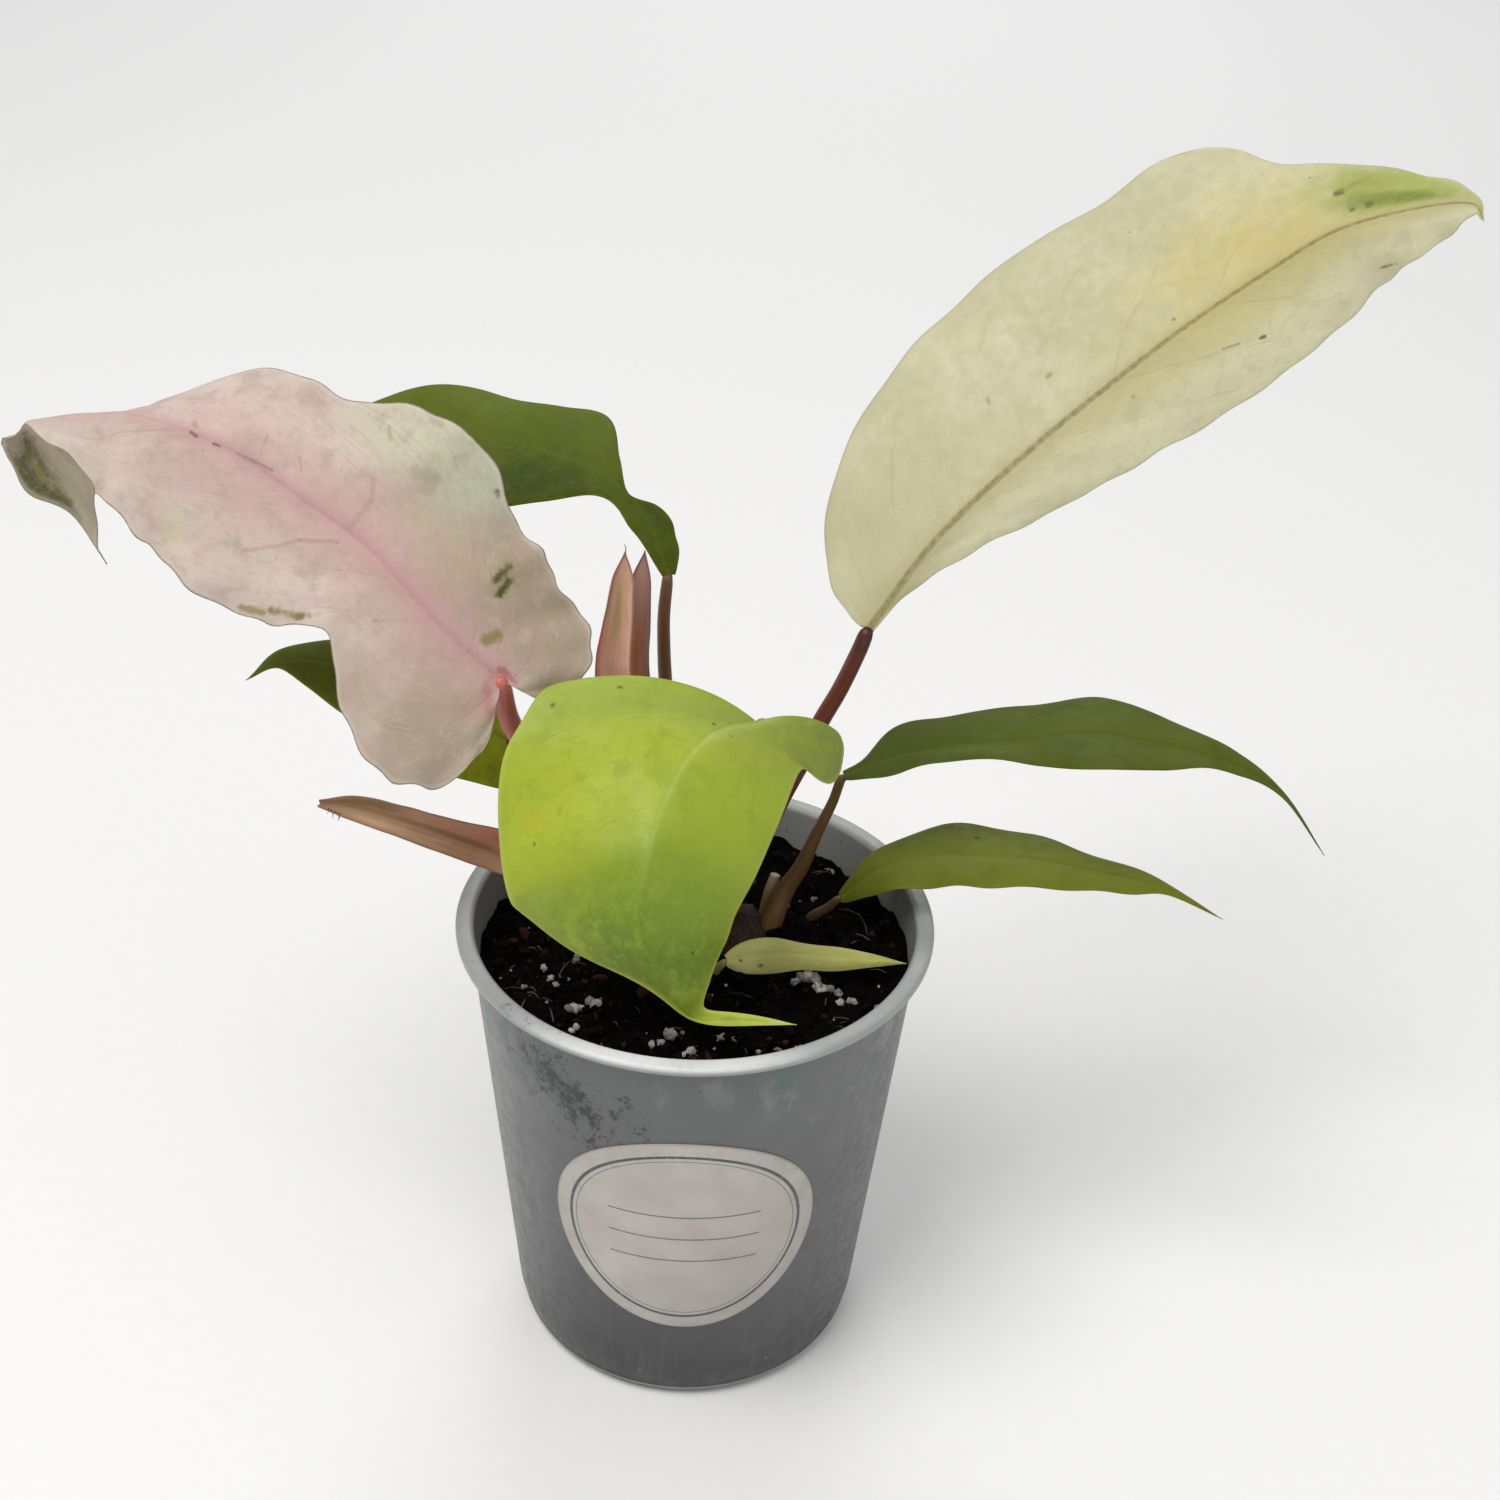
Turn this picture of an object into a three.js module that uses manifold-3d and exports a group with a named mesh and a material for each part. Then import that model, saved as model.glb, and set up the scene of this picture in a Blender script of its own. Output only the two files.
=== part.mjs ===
import * as THREE from 'three';
import { mergeVertices } from 'three/addons/utils/BufferGeometryUtils.js';
import Module from 'manifold-3d';

// A young philodendron in a frosted nursery pot. Millimetres, +Z up, with the
// origin at the centre of the pot's underside and -Y towards the viewer.

// Pot
const POT_HEIGHT = 125.5;
const POT_BASE_RADIUS = 46.2;
const POT_TOP_RADIUS = 56.6;
const POT_WALL = 1.2;
const POT_FLOOR = 1.6;
const POT_SEGMENTS = 56;
const FOOT_FILLET = 5;
const LIP_RADIUS = 60;
const LIP_DEPTH = 2.2;
const LIP_ROUND = 0.7;
const DRAIN_HOLE_RADIUS = 3.5;
const DRAIN_RING_RADIUS = 30;
const DRAIN_HOLES = 6;

// Label on the front wall
const LABEL_RADIUS = 34;
const LABEL_HEIGHT = 64;
const LABEL_ANGLE = -0.8;
const LABEL_THICKNESS = 0.5;
const LABEL_GAP = 0.4;

// Potting mix
const SOIL_LEVEL = 113.6;
const SOIL_GAP = 0.35;
const SOIL_SEGMENTS = 40;
const SOIL_RINGS = 9;
const SOIL_ROUGHNESS = 0.8;
const PERLITE_GRAINS = 34;
const PERLITE_SIZE = [1.2, 2.2];
const PERLITE_RING = [10, 51];
const SOIL_SEED = 7;

// Plant
const FIT_GAP = 0.4;
const BLADE_THICKNESS = 0.8;
const TIP_HALF_WIDTH = 0.7;
const STALK_SIDES = 8;
const CROWN_CENTRE = [5, 11];
const CROWN_RADIUS = 13.5;
const CROWN_STRETCH = 1.3;
const CROWN_BOTTOM = 98;
const CROWN_TOP = 117.5;
const CROWN_HOLE_RISE = 10;

// Places kept free of grains: x, y and reach
const STEM_HOLES = [[5, 11, 20], [29, 14.5, 4], [5, -10, 4]];

// Every leaf blade is a sheet of rows that leave a midrib. The midrib's points
// are millimetres. All other lists hold values at even steps from base to tip,
// left half first and right half second: width is the row's length, sweep its
// angle from the midrib, fold its lift at the midrib, curl its further bend out
// to the margin, and hang the drop of the margin. Crowd gathers rows at the base.
const BLADES = {
  leaf_cream: {
    rib: [[40, 22, 196], [55, 30, 216], [74, 38, 234], [92, 44, 249], [112, 49, 265],
      [130, 52, 278], [144, 52, 288], [158, 46, 295], [168, 38, 299], [171, 35, 296]],
    face: [-0.3, -0.75, 0.6],
    crowd: 1.25,
    keel: 1.6,
    rows: 24,
    columns: 5,
    width: [[2, 15.5, 28.5, 37, 41, 42.5, 39, 38.5, 22, 13.5, 8, 2, 0],
      [1.5, 2.5, 8, 14, 19.5, 23, 26, 25, 21, 15.5, 9, 2.5, 0]],
    sweep: [[120, 122, 105, 92, 84, 78, 72, 66, 60, 54, 44],
      [100, 92, 80, 74, 70, 66, 62, 58, 52, 46, 40]],
    fold: [[6, 6, 6, 6, 5, 5, 5, 4, 0, 0, 0],
      [-30, -30, -28, -26, -24, -24, -22, -20, -10, 0, 0]],
    curl: [[-10, -12, -14, -14, -14, -14, -12, -10, -10, -10, 0],
      [-20, -20, -20, -20, -20, -20, -20, -20, -20, -10, 0]],
  },
  leaf_pink: {
    rib: [[-46, -8, 195], [-61, -4, 208], [-76, 4, 221], [-92, 11, 230], [-110, 16, 240],
      [-129, 18, 246], [-141, 20, 245], [-156, 25, 241], [-158, 30, 236], [-157, 31, 226],
      [-151, 30, 217], [-144, 27, 204]],
    side: [[0, 0.55, 0.85], [0, 0.55, 0.85], [0, 0.55, 0.85], [0, 0.55, 0.85], [0, 0.55, 0.85],
      [0, 0.55, 0.85], [0, 0.55, 0.85], [0.35, 0.75, 0.5], [0.9, 0.45, 0.1], [1, 0.2, 0],
      [1, 0.2, 0], [1, 0.1, 0]],
    crowd: 1.6,
    keel: 1.5,
    rows: 34,
    columns: 5,
    width: [[12, 23, 32.5, 34, 30, 20.5, 25, 30, 31, 28, 22, 17.5, 8, 0.7, 6.3, 6.5, 1.5, 0],
      [9, 19.5, 27, 27, 29, 30, 35, 30.5, 24, 23.5, 13, 8, 8, 6, 8, 11, 5.5, -2]],
    sweep: [[121, 112, 102, 94, 88, 84, 80, 76, 75, 80, 100, 80, 60],
      [165, 135, 116, 104, 96, 90, 84, 78, 72, 70, 80, 75, 60]],
    fold: [[0, 0, 0, 0, 0, 0, 0, 0, 0, 0, 0, 0, 0],
      [4, 4, 4, 4, 4, 4, 0, -30, -80, -60, -10, 0, 0]],
    curl: [[0, 0, 0, 0, 0, 0, 0, 0, 0, 0, 0, 0, 0],
      [0, 0, 0, 0, 0, 0, -20, -40, -40, -30, 0, 0, 0]],
  },
  leaf_lime: {
    rib: [[13, -1, 182], [6, -9, 185], [0, -18, 186], [-5, -27, 183], [-9, -36, 177],
      [-11, -43, 171], [-13, -48, 161], [-11, -50, 149], [-5, -48, 137], [0, -45, 128],
      [12, -44, 127], [24, -45, 127]],
    face: [-0.3, -0.6, 0.75],
    crowd: 1.3,
    keel: 1.2,
    rows: 32,
    columns: 5,
    width: [[22, 29.5, 32.5, 27.5, 25.5, 27, 29, 30.5, 31.5, 31.5, 29.5, 27.5, 23.5, 14, 4.5, 3.5, 2, 0],
      [46, 50, 49.5, 48, 46, 43.5, 41, 39.2, 37, 23.5, 7, 2, 2, 1.5, 0]],
    sweep: [[145, 144, 142, 140, 138, 128, 118, 108, 98, 86, 74, 60, 50, 44, 44, 44, 44, 44],
      [36, 34, 36, 44, 49, 54, 60, 64, 61, 60, 56, 52, 50, 50, 50]],
    fold: [[44, 31, 13, -3, -6, -24, -34, -42, -47, -52, -53, -48, -36, -22, -10, 0, 0, 0],
      [24, 16, 14, 15, 18, 15, 12, 4, 3, 0, -4, 0, 0, 0, 0]],
    curl: [[-70, -70, -60, -35, -25, -20, -20, -20, -20, -18, -15, -10, -5, 0, 0, 0, 0, 0],
      [-55, -50, -45, -42, -40, -38, -36, -34, -30, -24, -14, -6, 0, 0, 0]],
  },
  leaf_back: {
    rib: [[-9, 27, 206], [-12, 30, 213], [-16, 34, 219], [-26, 40, 226], [-41, 47, 229],
      [-57, 52, 230], [-75, 56, 229], [-91, 58, 225], [-104, 57, 220]],
    face: [-0.1, -0.5, 0.85],
    crowd: 1.2,
    keel: 1,
    rows: 24,
    columns: 4,
    width: [[1.5, 2.5, 3.5, 4.5, 4.5, 13, 22, 21, 15, 8, 0],
      [1.5, 3, 4.5, 5, 5.5, 4.5, 0.8, 7, 17.5, 15.5, 15, 17, 17.5, 15, 10, 5, 0]],
    sweep: [[110, 100, 95, 88, 82, 76, 70, 62, 54, 44],
      [110, 100, 95, 92, 90, 88, 82, 74, 64, 54, 44]],
    fold: [[0, 0], [0, 0]],
    curl: [[-20, -20], [-20, -20]],
  },
  leaf_left: {
    rib: [[-47, 16, 164], [-60, 19, 170], [-75, 22, 177], [-89, 24, 180], [-103, 25, 180], [-113, 24,
      174.8]],
    face: [-0.1, -0.5, 0.85],
    crowd: 1.2,
    keel: 1,
    rows: 16,
    columns: 4,
    width: [[13, 14, 16, 15, 12.5, 7.5, 1.4, 0], [4, 6, 8, 9.5, 9, 7, 4, 0]],
    sweep: [[135, 115, 98, 88, 80, 70, 60, 50], [135, 115, 98, 88, 80, 70, 60, 50]],
    fold: [[0, 0], [0, 0]],
    curl: [[-20, -20], [-20, -20]],
  },
  leaf_right_upper: {
    rib: [[36, 15, 158], [48, 14, 164], [62, 12, 169], [78, 10, 172], [94, 8, 176],
      [111, 6, 175], [127, 4, 172], [142, 2, 164], [155, 0, 148]],
    face: [0.1, -0.1, 1],
    crowd: 1.2,
    keel: 1,
    rows: 22,
    columns: 4,
    width: [[1.5, 4, 13, 14, 15, 16, 16.5, 14, 9.5, 5.5, 2.5, 0],
      [1.5, 5.5, 7.5, 7, 7, 12, 18, 13, 8, 4, 2, 0]],
    sweep: [[110, 100, 88, 82, 78, 74, 68, 60, 52, 46, 40],
      [110, 100, 88, 82, 78, 74, 68, 60, 52, 46, 40]],
    fold: [[12, 12], [12, 12]],
    curl: [[-25, -25], [-15, -15]],
  },
  leaf_right_lower: {
    rib: [[37, 10, 124], [46, 10, 133], [59, 9, 138], [72, 7, 140], [87, 4, 141],
      [102, 1, 140], [116, -2, 138], [131, -6, 132]],
    face: [0.1, -0.1, 1],
    crowd: 1.2,
    keel: 0.8,
    rows: 18,
    columns: 4,
    width: [[1.5, 5, 8, 12, 13, 11, 8, 5.5, 3, 0], [1.5, 5.5, 9, 11, 11.5, 11, 9, 6.5, 2, 0]],
    sweep: [[105, 95, 86, 80, 76, 70, 64, 56, 48, 40], [105, 95, 86, 80, 76, 70, 64, 56, 48, 40]],
    fold: [[10, 10], [5, 5]],
    curl: [[-20, -20], [-20, -20]],
  },
  leaf_small: {
    rib: [[8, -11, 119], [16, -10.5, 120.5], [25, -10.5, 121], [34, -11.5, 121],
      [44, -12, 121], [52.5, -12.5, 120.5]],
    face: [0, -0.6, 0.8],
    crowd: 1.2,
    keel: 0.3,
    rows: 12,
    columns: 3,
    width: [[1.5, 4.5, 5, 3.5, 3.5, 2, 0], [1.5, 4.5, 5, 4, 3.5, 2, 0]],
    sweep: [[110, 95, 86, 78, 70, 56, 40], [110, 95, 86, 78, 70, 56, 40]],
    fold: [[0, 0], [0, 0]],
    curl: [[-40, -40], [-40, -40]],
  },
  sheath_upright_outer: {
    rib: [[-4, 14.5, 119], [-11, 14.5, 141], [-17.5, 14, 163], [-22.5, 14, 185], [-21, 14, 204],
      [-19, 14, 218]],
    side: [[1, 0, 0], [1, 0, 0]],
    crowd: 1,
    keel: 0,
    rows: 14,
    columns: 3,
    width: [[3, 3.6, 4, 4.3, 4.5, 4.6, 4.4, 3.7, 3.1, 2.6, 0],
      [3, 3.6, 4.2, 4.8, 5.4, 6, 6.2, 5.8, 4.9, 3.6, 0]],
    sweep: [[90, 85, 75, 50], [90, 85, 75, 50]],
    fold: [[0, 0], [0, 0]],
    curl: [[70, 70], [50, 50]],
  },
  sheath_upright_inner: {
    rib: [[1.5, 17, 119], [-5.5, 18, 141], [-12, 17.5, 163], [-17, 17, 184], [-16, 17, 202],
      [-14.5, 17, 217]],
    side: [[1, 0, 0], [1, 0, 0]],
    crowd: 1,
    keel: 0,
    rows: 12,
    columns: 3,
    width: [[2.5, 3, 3.4, 3.8, 4, 4, 4, 3.8, 3.3, 2.5, 0],
      [2.5, 3, 3.6, 4.2, 4.9, 5.2, 5.1, 4.7, 3.9, 2.9, 0]],
    sweep: [[90, 85, 75, 50], [90, 85, 75, 50]],
    fold: [[0, 0], [0, 0]],
    curl: [[30, 30], [60, 60]],
  },
  sheath_left: {
    rib: [[-6, 1, 121.5], [-17, 0, 127], [-31, -2, 136], [-49, -6, 146], [-71, -8, 155],
      [-90, -8, 160]],
    side: [[0, 0.55, 0.85], [0, 0.55, 0.85]],
    crowd: 1,
    keel: 0,
    rows: 14,
    columns: 4,
    width: [[3.5, 4.6, 5.2, 5.6, 6, 6.2, 6.1, 5.5, 4.4, 3.1, 1.2],
      [3.5, 4.6, 5.4, 6.2, 7, 7.4, 7.2, 5.8, 5.6, 5.4, 1.2]],
    sweep: [[90, 90, 80, 60], [90, 90, 80, 60]],
    fold: [[0, 0], [0, 0]],
    curl: [[70, 70], [70, 70]],
  },
};

// Leaf stalks: points of the centre line, and the radius at even steps.
const STALKS = {
  stalk_cream: {
    path: [[5.5, 14.5, 106], [7.5, 16, 114], [11.3, 18.5, 126], [17, 20, 137], [21.5, 21, 148], [26,
      22, 158], [29.6, 23, 168], [34, 23, 178], [37.7, 22, 189], [39.2, 21.6, 194.2]],
    radius: [3, 2.8, 2.6, 2.4, 2.3, 2.2, 2.2, 2.1, 2, 1.8],
    blade: 'leaf_cream',
  },
  stalk_pink: {
    path: [[-4, 5, 106], [-11, 7, 130], [-26, 4, 153], [-43, -2.5, 177], [-46, -7.2, 193.2]],
    radius: [3, 3, 2.8, 2.6, 2.1],
    blade: 'leaf_pink',
  },
  stalk_lime: {
    path: [[5, 7, 106], [9, 9, 130], [15, 9, 155], [18.4, 6.5, 173.2], [14.8, 1, 180]],
    radius: [2.8, 2.6, 2.3, 2.1, 1.8],
    blade: 'leaf_lime',
  },
  stalk_back: {
    path: [[1.5, 21, 106], [-3, 22, 140], [-8.4, 23, 170], [-10, 24.5, 192], [-9.4, 26, 204.2]],
    radius: [2.2, 1.9, 1.8, 1.6, 1.4],
    blade: 'leaf_back',
  },
  stalk_left: {
    path: [[-7.5, 10.5, 106], [-17, 12, 130], [-32, 15, 150], [-46, 15.8, 162.6]],
    radius: [2.2, 2, 1.8, 1.5],
    blade: 'leaf_left',
  },
  stalk_right_upper: {
    path: [[17, 7.5, 106], [20, 11, 116], [23, 14, 123], [26.8, 15, 130], [30, 16, 139], [33.6, 16,
      149], [35.2, 15.2, 156.2]],
    radius: [3, 2.8, 2.4, 2, 1.6, 1.3, 1.2],
    blade: 'leaf_right_upper',
  },
  stalk_right_lower: {
    path: [[28, 15, 106], [30, 14, 114], [34, 12, 119], [36.3, 10.4, 122.9]],
    radius: [1.5, 1.4, 1.2, 1],
    blade: 'leaf_right_lower',
  },
  stalk_small: {
    path: [[4, -9, 106], [5, -10, 114], [7, -10.9, 117.7]],
    radius: [1.3, 1.3, 1],
    blade: 'leaf_small',
  },
  old_stub: {
    path: [[17, 14.8, 108], [18.2, 16.4, 114], [19.2, 17.2, 119.5], [20.3, 18, 124.8]],
    radius: [1.7, 1.8, 1.8, 1.3],
  },
};

// Library for cuts and joins
const WELD_TOLERANCE = 1e-4;
const wasm = await Module();
wasm.setup();

// Geometry to solid
function toSolid(geometry) {
  const bare = new THREE.BufferGeometry();
  bare.setAttribute('position', geometry.getAttribute('position'));
  bare.setIndex(geometry.getIndex());
  const merged = mergeVertices(bare, WELD_TOLERANCE);
  return new wasm.Manifold(new wasm.Mesh({
    numProp: 3,
    vertProperties: new Float32Array(merged.getAttribute('position').array),
    triVerts: new Uint32Array(merged.getIndex().array),
  }));
}

// Solid to geometry
function toGeometry(solid) {
  const mesh = solid.getMesh();
  const geometry = new THREE.BufferGeometry();
  geometry.setAttribute('position', new THREE.BufferAttribute(mesh.vertProperties, 3));
  geometry.setIndex(new THREE.BufferAttribute(mesh.triVerts, 1));
  geometry.computeVertexNormals();
  return geometry;
}

// Repeatable random numbers
function seeded(seed) {
  let state = seed;
  return () => {
    state = (state * 1664525 + 1013904223) % 4294967296;
    return state / 4294967296;
  };
}

// Smooth curve through evenly spaced numbers or points
function through(values, u) {
  const last = values.length - 1;
  const x = THREE.MathUtils.clamp(u, 0, 1) * last;
  const i = Math.min(Math.floor(x), last - 1);
  const t = x - i;
  const pick = (k, axis) => (axis === undefined ? values[k] : values[k][axis]);
  const at = (axis) => {
    const b = pick(i, axis);
    const c = pick(i + 1, axis);
    const a = i > 0 ? pick(i - 1, axis) : 2 * b - c;
    const d = i < last - 1 ? pick(i + 2, axis) : 2 * c - b;
    return b + 0.5 * t * (c - a) + t * t * (a - 2.5 * b + 2 * c - 0.5 * d)
      + 0.5 * t ** 3 * (3 * (b - c) + d - a);
  };
  return Array.isArray(values[0]) ? new THREE.Vector3(at(0), at(1), at(2)) : at();
}

// Closed body between two sheets of points
function closedShell(top, bottom) {
  const rows = top.length;
  const columns = top[0].length;
  const points = [...top.flat(), ...bottom.flat()];
  const half = rows * columns;
  const index = [];
  const quad = (a, b, c, d) => index.push(a, b, c, a, c, d);
  for (let i = 0; i < rows - 1; i += 1) {
    for (let j = 0; j < columns - 1; j += 1) {
      const a = i * columns + j;
      const b = a + 1;
      const c = a + columns + 1;
      const d = a + columns;
      quad(a, b, c, d);
      index.push(half + a, half + c, half + b, half + a, half + d, half + c);
    }
  }
  for (let i = 0; i < rows - 1; i += 1) {
    const a = i * columns;
    const b = a + columns;
    quad(a, b, half + b, half + a);
    quad(b + columns - 1, a + columns - 1, half + a + columns - 1, half + b + columns - 1);
  }
  for (let j = 0; j < columns - 1; j += 1) {
    const e = (rows - 1) * columns + j;
    quad(j + 1, j, half + j, half + j + 1);
    quad(e, e + 1, half + e + 1, half + e);
  }
  const geometry = new THREE.BufferGeometry();
  geometry.setFromPoints(points);
  geometry.setIndex(index);
  geometry.computeVertexNormals();
  return geometry;
}

// Directions along, to the right of and out of a blade at one place on its midrib
function bladeFrame(spec, u) {
  const step = 0.001;
  const ahead = through(spec.rib, Math.min(u + step, 1));
  const behind = through(spec.rib, Math.max(u - step, 0));
  const along = ahead.sub(behind).normalize();
  const right = new THREE.Vector3();
  if (spec.side) {
    right.copy(through(spec.side, u));
    right.addScaledVector(along, -right.dot(along)).normalize();
  } else {
    right.crossVectors(along, new THREE.Vector3().fromArray(spec.face)).normalize();
  }
  const out = new THREE.Vector3().crossVectors(right, along);
  return { along, right, out };
}

// Point of a blade at row r, from 0 at the base to 1 at the tip, and t, from -1 to 1
function bladePoint(spec, r, t) {
  const half = t < 0 ? 0 : 1;
  const sign = t < 0 ? -1 : 1;
  const reach = Math.abs(t);
  const u = r ** spec.crowd;
  const { along, right, out } = bladeFrame(spec, u);
  const value = (name) => THREE.MathUtils.degToRad(through(spec[name][half], r));
  const width = Math.max(through(spec.width[half], r), TIP_HALF_WIDTH);
  const sweep = value('sweep');
  const fold = value('fold');
  const curl = value('curl') || 1e-4;
  const away = (Math.sin(fold + curl * reach) - Math.sin(fold)) / curl;
  const lift = (Math.cos(fold) - Math.cos(fold + curl * reach)) / curl;
  const point = through(spec.rib, u);
  point.addScaledVector(along, width * away * Math.cos(sweep));
  point.addScaledVector(right, sign * width * away * Math.sin(sweep));
  point.addScaledVector(out, width * lift);
  if (spec.hang) {
    point.z -= through(spec.hang[half], r) * reach ** 2;
  }
  return point;
}

// Normals of a sheet of points
function sheetNormals(sheet) {
  const rows = sheet.length;
  const columns = sheet[0].length;
  return sheet.map((row, i) => row.map((_, j) => {
    const forward = sheet[Math.min(i + 1, rows - 1)][j].clone().sub(sheet[Math.max(i - 1, 0)][j]);
    const across = row[Math.min(j + 1, columns - 1)].clone().sub(row[Math.max(j - 1, 0)]);
    return across.cross(forward).normalize();
  }));
}

// Closed blade with a keel under its midrib; extra grows it on every side
function bladeGeometry(spec, extra = 0) {
  const sheet = [];
  for (let i = 0; i <= spec.rows; i += 1) {
    const row = [];
    for (let j = -spec.columns; j <= spec.columns; j += 1) {
      row.push(bladePoint(spec, i / spec.rows, (j / spec.columns)));
    }
    sheet.push(row);
  }
  const back = sheet[0].map((p, j) => p.clone().sub(sheet[1][j]).setLength(2 * extra));
  sheet[0].forEach((p, j) => p.add(back[j]));
  const normals = sheetNormals(sheet);
  const offset = BLADE_THICKNESS / 2 + extra;
  const top = sheet.map((row, i) => row.map((p, j) => p.clone().addScaledVector(normals[i][j], offset)));
  const bottom = sheet.map((row, i) => row.map((p, j) => {
    const keel = j === spec.columns ? spec.keel * (1 - i / spec.rows) : 0;
    return p.clone().addScaledVector(normals[i][j], -offset - keel);
  }));
  return closedShell(top, bottom);
}

// Closed tapering stalk along a curve
function stalkGeometry(spec, extra = 0) {
  const steps = Math.max(4, (spec.path.length - 1) * 2);
  const curve = new THREE.CatmullRomCurve3(spec.path.map((p) => new THREE.Vector3().fromArray(p)));
  const frames = curve.computeFrenetFrames(steps, false);
  const points = [];
  for (let i = 0; i <= steps; i += 1) {
    const centre = curve.getPointAt(i / steps);
    const push = { 0: -extra, [steps]: extra }[i] ?? 0;
    centre.addScaledVector(frames.tangents[i], push);
    const radius = through(spec.radius, i / steps) + extra;
    for (let k = 0; k < STALK_SIDES; k += 1) {
      const angle = (2 * Math.PI * k) / STALK_SIDES;
      points.push(centre.clone()
        .addScaledVector(frames.normals[i], radius * Math.cos(angle))
        .addScaledVector(frames.binormals[i], radius * Math.sin(angle)));
    }
  }
  const index = [];
  for (let i = 0; i < steps; i += 1) {
    for (let k = 0; k < STALK_SIDES; k += 1) {
      const a = i * STALK_SIDES + k;
      const b = i * STALK_SIDES + ((k + 1) % STALK_SIDES);
      index.push(a, b, b + STALK_SIDES, a, b + STALK_SIDES, a + STALK_SIDES);
    }
  }
  const end = steps * STALK_SIDES;
  for (let k = 1; k < STALK_SIDES - 1; k += 1) {
    index.push(0, k + 1, k, end, end + k, end + k + 1);
  }
  const geometry = new THREE.BufferGeometry();
  geometry.setFromPoints(points);
  geometry.setIndex(index);
  geometry.computeVertexNormals();
  return geometry;
}

// Outer radius of the pot's wall at a height
function wallRadius(z) {
  return THREE.MathUtils.lerp(POT_BASE_RADIUS, POT_TOP_RADIUS, z / (POT_HEIGHT - LIP_DEPTH));
}

// Tapered pot with a rounded foot, a narrow lip and holes in its floor
function potGeometry() {
  const profile = [new THREE.Vector2(0, 0)];
  const foot = POT_BASE_RADIUS - FOOT_FILLET;
  for (let k = 0; k <= 4; k += 1) {
    const angle = (Math.PI / 2) * (k / 4);
    const x = foot + FOOT_FILLET * Math.sin(angle);
    profile.push(new THREE.Vector2(x, FOOT_FILLET * (1 - Math.cos(angle))));
  }
  const underLip = POT_HEIGHT - LIP_DEPTH;
  profile.push(new THREE.Vector2(POT_TOP_RADIUS, underLip));
  profile.push(new THREE.Vector2(LIP_RADIUS, underLip));
  profile.push(new THREE.Vector2(LIP_RADIUS, POT_HEIGHT - LIP_ROUND));
  profile.push(new THREE.Vector2(LIP_RADIUS - LIP_ROUND, POT_HEIGHT));
  profile.push(new THREE.Vector2(POT_TOP_RADIUS - POT_WALL + LIP_ROUND, POT_HEIGHT));
  profile.push(new THREE.Vector2(POT_TOP_RADIUS - POT_WALL, POT_HEIGHT - LIP_ROUND));
  profile.push(new THREE.Vector2(wallRadius(FOOT_FILLET) - POT_WALL, FOOT_FILLET));
  profile.push(new THREE.Vector2(foot, POT_FLOOR));
  profile.push(new THREE.Vector2(0, POT_FLOOR));
  const lathe = new THREE.LatheGeometry(profile, POT_SEGMENTS).rotateX(Math.PI / 2);
  let pot = toSolid(lathe);
  for (let k = 0; k < DRAIN_HOLES; k += 1) {
    const angle = (2 * Math.PI * k) / DRAIN_HOLES;
    const hole = new THREE.CylinderGeometry(DRAIN_HOLE_RADIUS, DRAIN_HOLE_RADIUS, 3 * POT_FLOOR, 12);
    hole.rotateX(Math.PI / 2);
    hole.translate(DRAIN_RING_RADIUS * Math.cos(angle), DRAIN_RING_RADIUS * Math.sin(angle), 0);
    pot = pot.subtract(toSolid(hole));
  }
  return toGeometry(pot);
}

// Round label bent to the wall
function labelGeometry() {
  const rings = 5;
  const segments = 36;
  const place = (reach, angle, lift) => {
    const across = reach * Math.cos(angle);
    const z = LABEL_HEIGHT + reach * Math.sin(angle);
    const turn = THREE.MathUtils.degToRad(LABEL_ANGLE - 90) + across / wallRadius(LABEL_HEIGHT);
    const radius = wallRadius(z) + lift;
    return new THREE.Vector3(radius * Math.cos(turn), radius * Math.sin(turn), z);
  };
  const points = [];
  for (const lift of [LABEL_GAP + LABEL_THICKNESS, LABEL_GAP]) {
    points.push(place(0, 0, lift));
    for (let i = 1; i <= rings; i += 1) {
      for (let k = 0; k < segments; k += 1) {
        points.push(place((LABEL_RADIUS * i) / rings, (2 * Math.PI * k) / segments, lift));
      }
    }
  }
  const half = 1 + rings * segments;
  const index = [];
  for (let k = 0; k < segments; k += 1) {
    const next = (k + 1) % segments;
    index.push(0, 1 + k, 1 + next, half, half + 1 + next, half + 1 + k);
    for (let i = 0; i < rings - 1; i += 1) {
      const a = 1 + i * segments + k;
      const b = 1 + i * segments + next;
      index.push(a, a + segments, b + segments, a, b + segments, b);
      index.push(half + a, half + b + segments, half + a + segments);
      index.push(half + a, half + b, half + b + segments);
    }
    const a = 1 + (rings - 1) * segments + k;
    const b = 1 + (rings - 1) * segments + next;
    index.push(a, half + a, half + b, a, half + b, b);
  }
  const geometry = new THREE.BufferGeometry();
  geometry.setFromPoints(points);
  geometry.setIndex(index);
  return geometry;
}

// Height of the potting mix with its clods
function soilHeight(x, y) {
  const clods = 0.9 * Math.sin(0.31 * x + 1.3) * Math.cos(0.27 * y)
    + 0.6 * Math.sin(0.53 * x - 0.47 * y) + 0.5 * Math.cos(0.71 * y + 0.37 * x);
  return SOIL_LEVEL + clods;
}

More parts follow.
